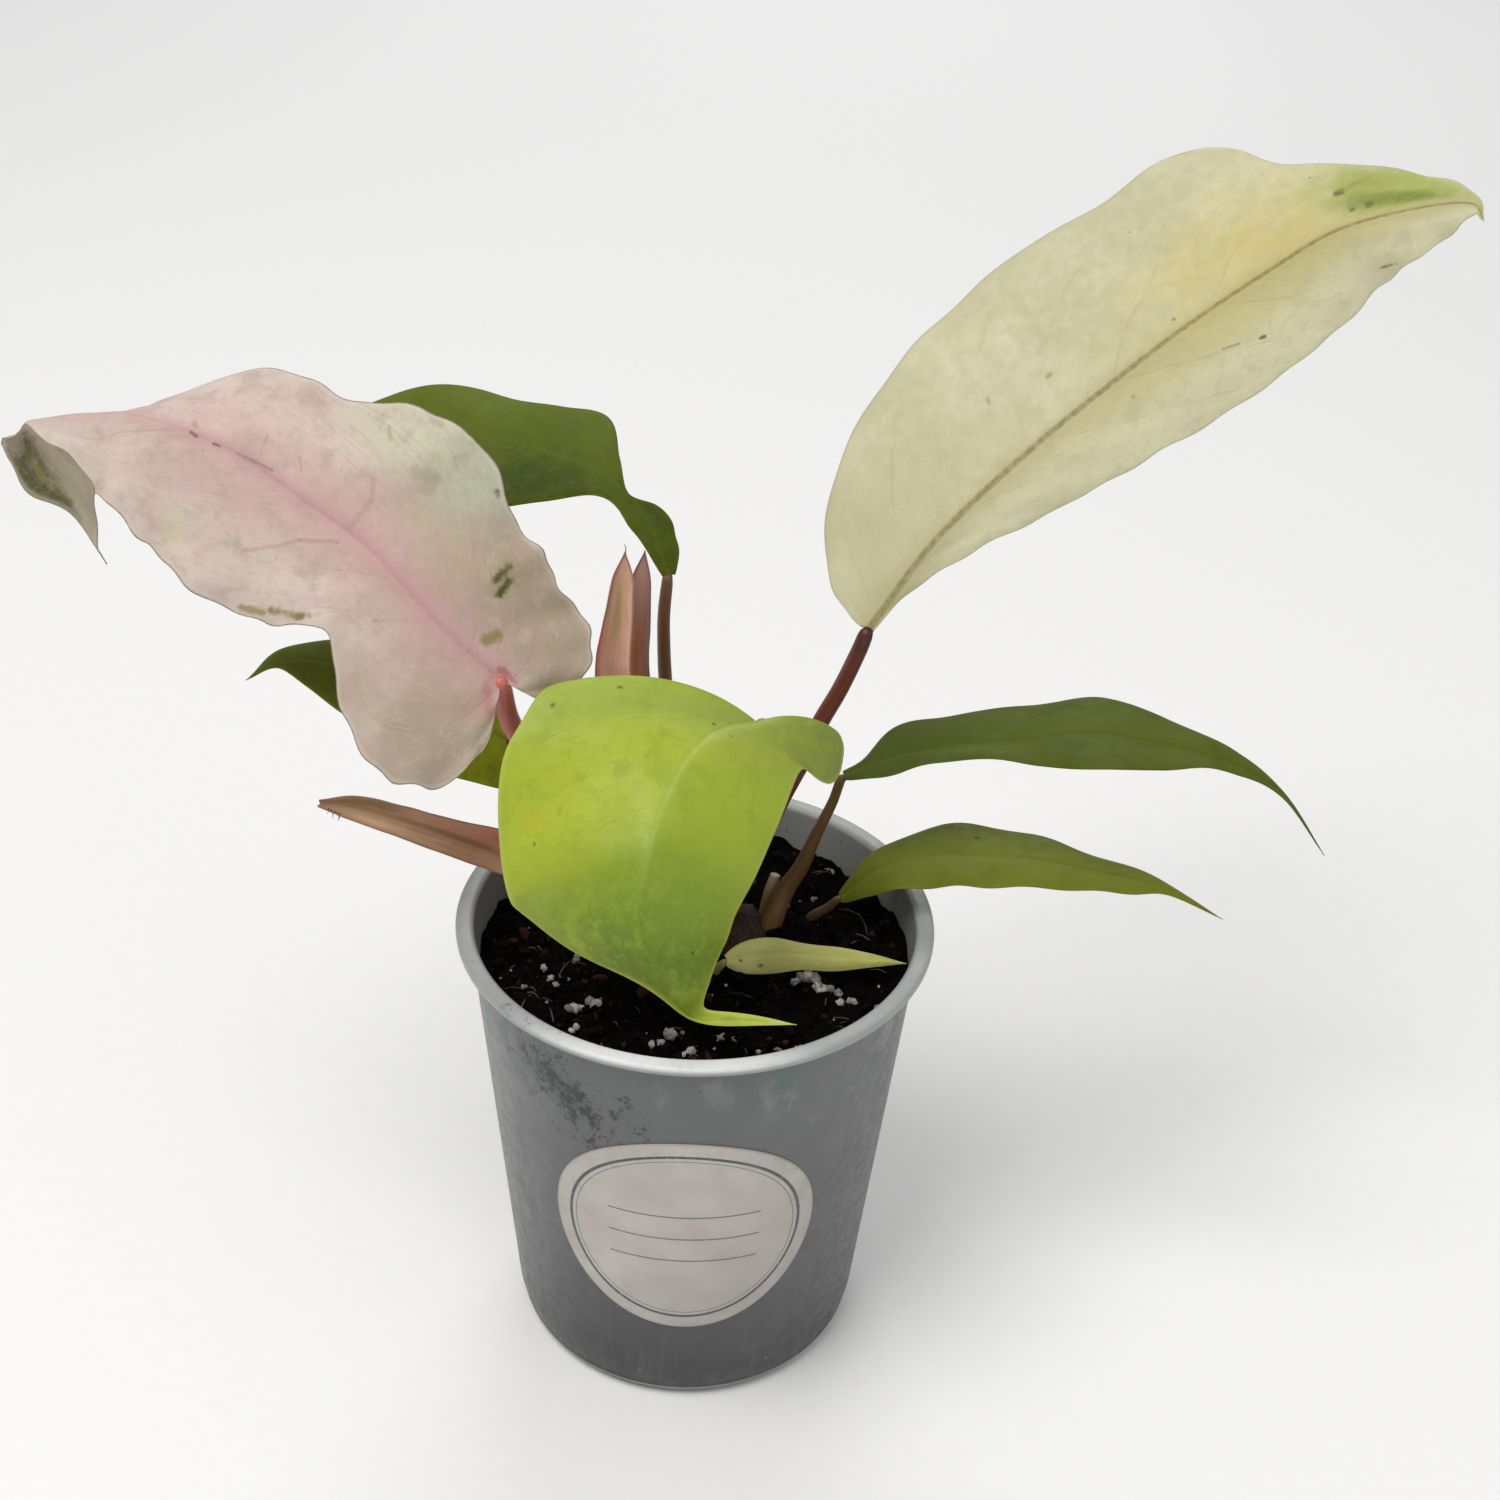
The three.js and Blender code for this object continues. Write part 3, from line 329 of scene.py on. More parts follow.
def make_mesh(name, verts, faces, attributes=None, smooth_shade=True):
    """Mesh object from millimetre points."""
    mesh = bpy.data.meshes.new(name)
    mesh.from_pydata((np.asarray(verts) * MM).tolist(), [], [tuple(int(i) for i in f) for f in faces])
    for key, values in (attributes or {}).items():
        layer = mesh.attributes.new(key, "FLOAT", "POINT")
        layer.data.foreach_set("value", np.asarray(values, np.float32).ravel())
    mesh.validate()
    mesh.update()
    if smooth_shade:
        mesh.shade_smooth()
    piece = bpy.data.objects.new(name, mesh)
    bpy.context.scene.collection.objects.link(piece)
    return piece


def ring_faces(rings, segments, start=0):
    """Quads between rings of points that follow one another."""
    k = np.arange(segments)
    n = (k + 1) % segments
    ring = start + segments * np.arange(rings - 1)[:, None]
    return np.stack([ring + k, ring + segments + k, ring + segments + n, ring + n], -1).reshape(-1, 4)


def skin_faces(rings, segments):
    """Faces of a closed skin: a first point, rings of points, and a last point."""
    k = np.arange(segments)
    n = (k + 1) % segments
    last = 1 + (rings - 1) * segments
    tip = np.full(segments, last + segments)
    fans = [np.stack([0 * k, 1 + k, 1 + n], -1), np.stack([last + k, tip, last + n], -1)]
    return ring_faces(rings, segments, 1).tolist() + np.concatenate(fans).tolist()


def turned(faces):
    """The same faces, looking the other way."""
    return [(face[0], *face[:0:-1]) for face in faces]


def grid_faces(rows, columns, start=0, flip=False):
    """Quads of a sheet of points; flip turns them over."""
    i, j = np.meshgrid(np.arange(rows - 1), np.arange(columns - 1), indexing="ij")
    a = (start + i * columns + j).ravel()
    quads = np.stack([a, a + 1, a + columns + 1, a + columns], -1)
    return quads[:, ::-1] if flip else quads


def settle(piece, node_names, material):
    """Gives a piece its material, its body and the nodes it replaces."""
    piece.data.materials.clear()
    piece.data.materials.append(material)
    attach(piece, "root")
    if node_names:
        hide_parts(*node_names)
    return piece


def dimples(points, height, scale):
    """Gentle unevenness of a surface, the same for points that lie close."""
    flat = points.reshape(-1, 3) * scale
    values = [noise.noise(p) for p in flat.tolist()]
    return height * np.array(values).reshape(points.shape[:-1])


def evened(sheet, across, span):
    """Margins smoothed lengthwise over so many rows; the ends and the midrib stay."""
    blurred = sheet
    window = np.ones(2 * span + 1) / (2 * span + 1)
    for _ in range(3):
        padded = np.pad(blurred, ((span, span), (0, 0), (0, 0)), "edge")
        blurred = np.apply_along_axis(lambda line: np.convolve(line, window, "valid"), 0, padded)
    index = np.arange(len(sheet))
    ends = smooth(np.minimum(index, len(sheet) - 1 - index) / (2.0 * span))
    weight = smooth(np.abs(across) * 1.4) * ends[:, None]
    return sheet + weight[..., None] * (blurred - sheet)


def make_blade(name, thickness, rib_groove):
    spec, fine = BLADES[name], {**PLAIN, **FINE[name]}
    rows, columns = fine["rows"], fine["columns"]
    r = np.linspace(0, 1, rows + 1)
    reach = np.linspace(0, 1, columns + 1)
    left, width_left = blade_half(spec, fine, r, 0, reach)
    right, width_right = blade_half(spec, fine, r, 1, reach)
    sheet = np.concatenate([left[:, :0:-1], right], 1)
    t = np.concatenate([-reach[:0:-1], reach])
    across = np.broadcast_to(t, sheet.shape[:2])
    row = np.broadcast_to(r[:, None], sheet.shape[:2])
    if fine["even"]:
        sheet = evened(sheet, across, fine["even"])
    width = np.where(across < 0, width_left[:, None], width_right[:, None])
    vein = row - fine["bend"] * np.abs(across) ** fine["power"] * smooth(width / 6)
    from_rib = width * np.abs(across)
    to_edge = width * (1 - np.abs(across))
    forward = np.gradient(sheet, axis=0)
    sideways = np.gradient(sheet, axis=1)
    normal = unit(np.cross(sideways, forward))
    dome = dimples(sheet, *fine["dimple"]) * smooth(width / 5)
    if fine["veins"]:
        swell = 0.5 - 0.5 * np.cos(2 * np.pi * fine["veins"] * vein)
        dome += fine["pucker"] * (swell - 0.5) * smooth(from_rib / 4) * smooth(to_edge / 5)
    keel_width = 0.5 + 1.0 * (1 - row)
    rib_line = np.exp(-((from_rib / (0.55 * keel_width)) ** 2))
    groove = rib_groove * (1 - 0.7 * row) * rib_line * smooth(width / 4)
    edge = 0.35 + 0.65 * smooth(to_edge / 1.5)
    half_thick = 0.5 * thickness * edge
    keel = spec["keel"] * 0.9 * (1 - row) * np.exp(-((from_rib / keel_width) ** 2))
    top = sheet + normal * (half_thick + dome - groove)[..., None]
    bottom = sheet - normal * (half_thick - dome + keel)[..., None]
    n, m = rows + 1, 2 * columns + 1
    half = n * m
    faces = [grid_faces(n, m), grid_faces(n, m, half, flip=True)]
    # the narrow faces around the edge of the sheet, side by side
    i, j = np.arange(n - 1) * m, np.arange(m - 1)
    end = (n - 1) * m + j
    for a, b in ((i, i + m), (i + 2 * m - 1, i + m - 1), (j + 1, j), (end, end + 1)):
        faces.append(np.stack([a, b, half + b, half + a], -1))
    verts = np.concatenate([top.reshape(-1, 3), bottom.reshape(-1, 3)])
    verts = np.clip(verts, cad_low + BOX_GAP, cad_high - BOX_GAP)
    readings = dict(row=row, across=across, vein=vein, from_rib=from_rib, to_edge=to_edge)
    attributes = {key: np.tile(np.ravel(value), 2) for key, value in readings.items()}
    attributes["under"] = np.repeat([0.0, 1.0], half)
    return make_mesh(name + "_blade", verts, np.concatenate(faces), attributes)


def tube_parts(path, radius, sides=20, steps=60, squeeze=1.0):
    """Points, faces and readings of a closed tapering tube along a smooth path."""
    u = np.linspace(0, 1, steps + 1)
    centre = through(path, u)
    rad = through(radius, u)
    along = unit(np.gradient(centre, axis=0))
    normal = unit(np.cross(along[0], [0.3, 1, 0.2]))
    frames = []
    for a in along:
        normal = unit(normal - a * (normal @ a))
        frames.append(normal.copy())
    frames = np.array(frames)
    other = np.cross(along, frames)
    angle = 2 * np.pi * np.arange(sides) / sides
    ring = np.cos(angle)[None, :, None] * frames[:, None]
    ring = ring + squeeze * np.sin(angle)[None, :, None] * other[:, None]
    verts = centre[:, None] + rad[:, None, None] * ring
    length = np.concatenate([[0], np.cumsum(np.linalg.norm(np.diff(centre, axis=0), axis=1))])
    faces = turned(ring_faces(steps + 1, sides).tolist())
    faces.append(list(range(sides))[::-1])
    faces.append([steps * sides + q for q in range(sides)])
    readings = dict(along=np.repeat(u, sides), length=np.repeat(length, sides),
                    around=np.tile(np.arange(sides) / sides, steps + 1))
    return verts.reshape(-1, 3), faces, readings


def threads(name, paths, radius):
    """Fine hairs and fibres, joined in one mesh."""
    verts, faces, tones = [], [], []
    for index, path in enumerate(paths):
        points, sides, _ = tube_parts(path, [radius, 0.9 * radius, 0.4 * radius], 5, 10)
        faces.extend([len(verts) + i for i in side] for side in sides)
        verts.extend(points.tolist())
        tones.extend([(index * 0.37) % 1.0] * len(points))
    return make_mesh(name, verts, faces, dict(tone=tones))


# Materials
PURE = (1, 1, 1)  # the tone of a surface that shows its colours as given


def srgb(r, g, b, tone=PURE):
    """A colour as the eye reads it, times the tone of its surface."""
    out = []
    for c, k in zip((r, g, b), tone):
        c /= 255
        out.append(min(1.0, k * (c / 12.92 if c <= 0.04045 else ((c + 0.055) / 1.055) ** 2.4)))
    return (*out, 1.0)


class Reading:
    """A value in a material, which takes part in sums as a number does."""

    def __init__(self, shader, socket):
        self.shader, self.socket = shader, socket

    def __add__(self, other):
        return self.shader.math("ADD", self, other)

    def __sub__(self, other):
        return self.shader.math("SUBTRACT", self, other)

    def __mul__(self, other):
        return self.shader.math("MULTIPLY", self, other)

    def __truediv__(self, other):
        return self.shader.math("DIVIDE", self, other)

    def __abs__(self):
        return self.shader.math("ABSOLUTE", self)


class Shader:
    """A material whose nodes are strung together by short calls."""

    def __init__(self, name, tone=PURE, **constants):
        self.tone = tone
        self.material = bpy.data.materials.new(name)
        self.material.use_nodes = True
        self.tree = self.material.node_tree
        self.tree.nodes.clear()
        output = self.tree.nodes.new("ShaderNodeOutputMaterial")
        self.bsdf = self.tree.nodes.new("ShaderNodeBsdfPrincipled")
        self.tree.links.new(self.bsdf.outputs["BSDF"], output.inputs["Surface"])
        for key, value in constants.items():
            self.bsdf.inputs[key.replace("_", " ")].default_value = value

    def put(self, socket, value):
        if isinstance(value, Reading):
            self.tree.links.new(value.socket, socket)
        else:
            socket.default_value = value

    def node(self, kind, output, settings=None, **inputs):
        """One node; gives the reading of its named or numbered output."""
        made = self.tree.nodes.new("ShaderNode" + kind)
        for key, value in (settings or {}).items():
            setattr(made, key, value)
        for key, value in inputs.items():
            # an input goes by its name, or by its number after an n
            key = int(key[1:]) if key[1:].isdigit() else key
            self.put(made.inputs[key], value)
        return Reading(self, made.outputs[output])

    def math(self, operation, a, b=0.0, clamp=False):
        return self.node("Math", 0, dict(operation=operation, use_clamp=clamp), n0=a, n1=b)

    def vector(self, operation, a, b=(0, 0, 0), output="Vector"):
        return self.node("VectorMath", output, dict(operation=operation), n0=a, n1=b)

    def attribute(self, name):
        return self.node("Attribute", "Fac", dict(attribute_name=name))

    def place(self):
        """Object coordinates in millimetres."""
        return self.scaled(self.node("TexCoord", "Object"), (1000.0, 1000.0, 1000.0))

    def scaled(self, vector, factors):
        return self.vector("MULTIPLY", vector, factors)

    def joined(self, x, y, z=0.0):
        return self.node("CombineXYZ", 0, X=x, Y=y, Z=z)

    def split(self, vector, axis):
        return self.node("SeparateXYZ", axis, Vector=vector)

    def noise(self, vector, scale, detail=3.0, rough=0.55, warp=0.0):
        return self.node("TexNoise", "Fac", Vector=vector, Scale=scale, Detail=detail,
                         Roughness=rough, Distortion=warp)

    def cells(self, vector, scale, output="Distance"):
        return self.node("TexVoronoi", output, Vector=vector, Scale=scale)

    def ramp(self, value, low, high, start=0.0, end=1.0, kind="SMOOTHSTEP"):
        """The value taken from the range low to high to the range start to end."""
        return self.node("MapRange", 0, dict(interpolation_type=kind),
                         n0=value, n1=low, n2=high, n3=start, n4=end)

    def mix(self, factor, a, b, blend="MIX"):
        return self.node("Mix", 2, dict(data_type="RGBA", blend_type=blend), n0=factor, n6=a, n7=b)

    def spread(self, first, second, mask):
        """Starts the ground: a first colour, and a second where the mask is 1."""
        self.ground = self.mix(mask, srgb(*first, self.tone), srgb(*second, self.tone))

    def lay(self, colour, mask, tone=None):
        """Lays a colour over the ground where the mask says."""
        self.ground = self.mix(mask, self.ground, srgb(*colour, tone or self.tone))

    def shade(self, factor):
        grey = self.node("CombineColor", 0, Red=factor, Green=factor, Blue=factor)
        self.ground = self.mix(1.0, self.ground, grey, "MULTIPLY")

    def patch(self, row, across, centre, reach, wobble, soft=0.35):
        """Mask of an oval place on a blade, with a wavering edge."""
        a = (row - centre[0]) / reach[0]
        b = (across - centre[1]) / reach[1]
        far = self.math("SQRT", a * a + b * b)
        return self.ramp(far + wobble, 1 - soft, 1 + soft, 1.0, 0.0)

    def band(self, row, across, start, end, width, wobble, soft=0.05):
        """Mask of a stripe on a blade from one (row, across) to another."""
        middle = self.ramp(row, start[0], end[0], start[1], end[1], "LINEAR")
        off = abs(across - middle)
        side = self.ramp(off + wobble * (width * 0.6), width * 0.35, width * 1.25, 1.0, 0.0)
        begun = self.ramp(row, start[0] - soft, start[0] + soft)
        return side * (begun * self.ramp(row, end[0] + soft, end[0] - soft))

    def stroke(self, place, start, end, width, grain=0.0, soft=0.65):
        """Mask of a short mark between two points of the object; grain frays it."""
        run = [b - a for a, b in zip(start, end)]
        reach = max(sum(c * c for c in run), 0.01)
        from_start = self.vector("SUBTRACT", place, tuple(start))
        ahead = self.vector("DOT_PRODUCT", from_start, tuple(run), "Value")
        share = self.math("DIVIDE", ahead, reach, clamp=True)
        nearest = self.node("VectorMath", 0, dict(operation="SCALE"), n0=tuple(run), Scale=share)
        far = self.vector("LENGTH", self.vector("SUBTRACT", from_start, nearest), output="Value")
        far = far + grain * width
        return self.ramp(far, width * (1 - soft), width * (1 + soft), 1.0, 0.0)

    def finish(self, roughness, height, distance, strength=1.0):
        """Closes the material: its ground, a roughness, and a height that bumps it."""
        bump = self.node("Bump", "Normal", Strength=strength, Distance=distance, Height=height)
        self.put(self.bsdf.inputs["Base Color"], self.ground)
        self.put(self.bsdf.inputs["Roughness"], roughness)
        self.put(self.bsdf.inputs["Normal"], bump)
        return self.material


# How a leaf looks where its own entry says nothing else. Colours are as the eye reads
# them. A zone is (row, across), (its reach), colour, strength, softness; a mark is two
# points in millimetres, half its width, colour, strength; a band of a sheath is two
# (row, across), half its width, colour, strength.
LEAF_LOOK = dict(
    tone=PURE, length=130, blotch=0.3, mottle=0.25, grain=0.3, thread=0.25, vein_strength=0.18,
    halo=0.12, rib_width=0.8, rib_strength=0.8, rib_glow=0.2, rib_end=1.4, edge_width=0.45,
    rim_width=1.6, rim_strength=0.0, speck=0.4, shine=0.35, gloss=0.45, zones=(), marks=(), under=0.5,
    freckle=0.12)
# Brown specks of mixed size: scale of their spacing, reach, share left out, strength
SPECKS = ((0.13, 0.06, 0.82, 0.8), (0.35, 0.09, 0.88, 0.6), (0.9, 0.16, 0.86, 0.35))


def leaf_material(name, veins, **given):
    """Blade: clouded ground, coloured zones, mottling, veins, midrib, margin and marks."""
    look = SimpleNamespace(**{**LEAF_LOOK, **given})
    s = Shader(name, look.tone, Specular_IOR_Level=look.shine, Subsurface_Weight=0.04,
               Subsurface_Scale=0.003)
    s.bsdf.inputs["Subsurface Radius"].default_value = (1.0, 0.8, 0.4)
    place = s.place()
    row, across, flow = s.attribute("row"), s.attribute("across"), s.attribute("vein")
    from_rib, to_edge, back = s.attribute("from_rib"), s.attribute("to_edge"), s.attribute("under")
    side = s.math("SIGN", across)
    run = flow * float(look.length)
    cloud = s.noise(place, 0.045, 4.0)
    patchy = s.noise(place, 0.13, 4.0, 0.6)
    fine = s.noise(place, 0.55, 4.0, 0.65)
    dash = s.noise(s.joined(run * 0.8, from_rib * 0.26, side * 7.0), 1.0, 4.0, 0.62)
    thread = s.noise(s.joined(run * 2.4, from_rib * 0.14, side * 3.0), 1.0, 2.0)
    s.spread(look.light, look.dark, s.ramp(cloud, 0.36, 0.64))
    wobble = (patchy + fine * 0.5 + dash * 0.4 - 0.95) * 0.8
    for centre, reach, colour, strength, soft in look.zones:
        mask = s.patch(row, across, centre, reach, wobble, soft)
        s.lay(colour, mask * strength)
    s.lay(look.blot, s.ramp(patchy, 0.5, 0.66, 0.0, look.blotch))
    s.lay(look.fleck, s.ramp(dash, 0.5, 0.7, 0.0, look.mottle))
    grain = s.noise(s.joined(run * 1.1, from_rib * 0.8, side * 5.0), 0.8, 4.0, 0.7) * 0.7 + patchy * 0.3
    s.lay(look.fleck, s.ramp(grain, 0.52, 0.62, 0.0, look.grain))
    s.lay(look.light, s.ramp(grain, 0.46, 0.36, 0.0, 0.8 * look.grain))
    s.shade(s.ramp(thread, 0.3, 0.7, 1.0 - 0.07 * look.thread, 1.0 + 0.05 * look.thread))
    dapple = s.noise(place, 0.3, 6.0, 0.7, 0.4)
    s.lay(look.fleck, s.ramp(dapple, 0.5, 0.6, 0.0, look.freckle))
    s.lay(look.light, s.ramp(dapple, 0.46, 0.36, 0.0, look.freckle))
    # primary veins, broken here and there, with a soft band beside them
    count = flow * float(veins) + (cloud - 0.5) * 0.35
    beside = s.math("PINGPONG", count, 0.5)
    gaps = s.noise(s.joined(count, from_rib * 0.12), 1.3, 3.0)
    fade = s.ramp(to_edge, 1.0, 8.0) * s.ramp(gaps, 0.4, 0.62, 0.15, 1.0)
    halo = s.ramp(beside, 0.0, 0.22, 1.0, 0.0) * fade
    line = s.ramp(beside, 0.0, 0.045, 1.0, 0.0) * fade
    s.lay(look.vein, halo * look.halo)
    s.lay(look.vein_core, line * look.vein_strength)
    # midrib, wider at the base
    taper = s.ramp(row, 0.0, 1.0, 1.3, 0.3, "LINEAR")
    rib_reach = from_rib / taper
    lasting = s.ramp(row, look.rib_end - 0.4, look.rib_end, 1.0, 0.0)
    core = s.ramp(rib_reach, look.rib_width * 0.35, look.rib_width, look.rib_strength, 0.0) * lasting
    glow = s.ramp(rib_reach, 0.0, look.rib_width * 6.0, look.rib_glow, 0.0) * lasting
    worn = s.ramp(dash * 0.5 + fine * 0.5, 0.42, 0.58, 0.55, 1.0)
    s.lay(look.rib_soft, glow)
    s.lay(look.rib, core * worn)
    # margin: a paler rim inside a thin line
    s.lay(look.rim, s.ramp(to_edge, 0.4, look.rim_width, look.rim_strength, 0.0))
    outline = s.ramp(to_edge, look.edge_width * 0.3, look.edge_width, 1.0, 0.0)
    s.lay(look.edge, outline * s.ramp(fine, 0.35, 0.6, 0.5, 1.0))
    fray = (s.noise(place, 0.9, 3.0) - 0.5) * 1.6
    for start, end, width, colour, strength in look.marks:
        s.lay(colour, s.stroke(place, start, end, width, fray) * strength)
    for scale, limit, pick, amount in SPECKS:
        reach = s.cells(place, scale)
        chance = s.split(s.cells(place, scale, output="Color"), 0)
        dot = s.ramp(reach, limit * 0.45, limit, 1.0, 0.0) * s.math("GREATER_THAN", chance, pick)
        s.lay((104, 88, 60), dot * (amount * look.speck))
    s.lay(look.below, back * look.under)
    rough = s.ramp(s.noise(place, 0.3, 4.0), 0.3, 0.7, look.gloss - 0.06, look.gloss + 0.1)
    height = dash * 0.45 + thread * 0.2 + fine * 0.5 + line * -0.6
    return s.finish(rough, height, 0.0002, 0.7)


def stalk_material(name, base, mid, tip, stripe, tone=PURE):
    """Stalk: three colours along its length, fine stripes and freckles."""
    s = Shader(name, tone, Specular_IOR_Level=0.5, Subsurface_Weight=0.05, Subsurface_Scale=0.002)
    place = s.place()
    along, length, around = s.attribute("along"), s.attribute("length"), s.attribute("around")
    at = along + (s.noise(place, 0.18, 4.0) - 0.5) * 0.25
    s.spread(base, mid, s.ramp(at, 0.0, 0.45))
    s.lay(tip, s.ramp(at, 0.6, 0.95))
    turn = around * (2 * math.pi)
    line = s.joined(s.math("COSINE", turn) * 3.2, s.math("SINE", turn) * 3.2, length * 0.05)
    streak = s.noise(line, 1.6, 4.0, 0.65)
    s.lay(stripe, s.ramp(streak, 0.48, 0.68, 0.0, 0.6))
    s.lay(stripe, s.ramp(s.cells(place, 0.9), 0.1, 0.2, 0.4, 0.0))
    return s.finish(s.ramp(streak, 0.3, 0.7, 0.32, 0.5), streak, 0.00018, 0.7)


def sheath_material(name, base, tip, stripe, outline, bands, tone):
    """Dry bract: two colours along it, long fibres, and bands of its own."""
    s = Shader(name, tone, Specular_IOR_Level=0.4, Subsurface_Weight=0.06, Subsurface_Scale=0.003)
    row, across, to_edge = s.attribute("row"), s.attribute("across"), s.attribute("to_edge")
    cloud = s.noise(s.place(), 0.14, 4.0)
    s.spread(base, tip, s.ramp(row + (cloud - 0.5) * 0.5, 0.3, 0.95))
    lane = s.noise(s.joined(across * 7.0, row * 4.0), 1.2, 4.0, 0.6, 0.2)
    fine = s.noise(s.joined(across * 26.0, row * 5.0), 1.0, 3.0)
    wobble = (cloud + lane - 1.0) * 2.0
    for start, end, width, colour, strength in bands:
        s.lay(colour, s.band(row, across, start, end, width, wobble) * strength)
    s.lay(stripe, s.ramp(lane, 0.48, 0.7, 0.0, 0.45))
    s.lay(stripe, s.ramp(fine, 0.45, 0.7, 0.0, 0.25))
    s.lay(outline, s.ramp(to_edge, 0.15, 0.75, 0.75, 0.0))
    s.lay((92, 66, 52), s.ramp(row, 0.96, 1.0, 0.0, 0.5))
    return s.finish(s.ramp(lane, 0.3, 0.7, 0.42, 0.6), lane + fine * 0.4, 0.0003, 0.8)


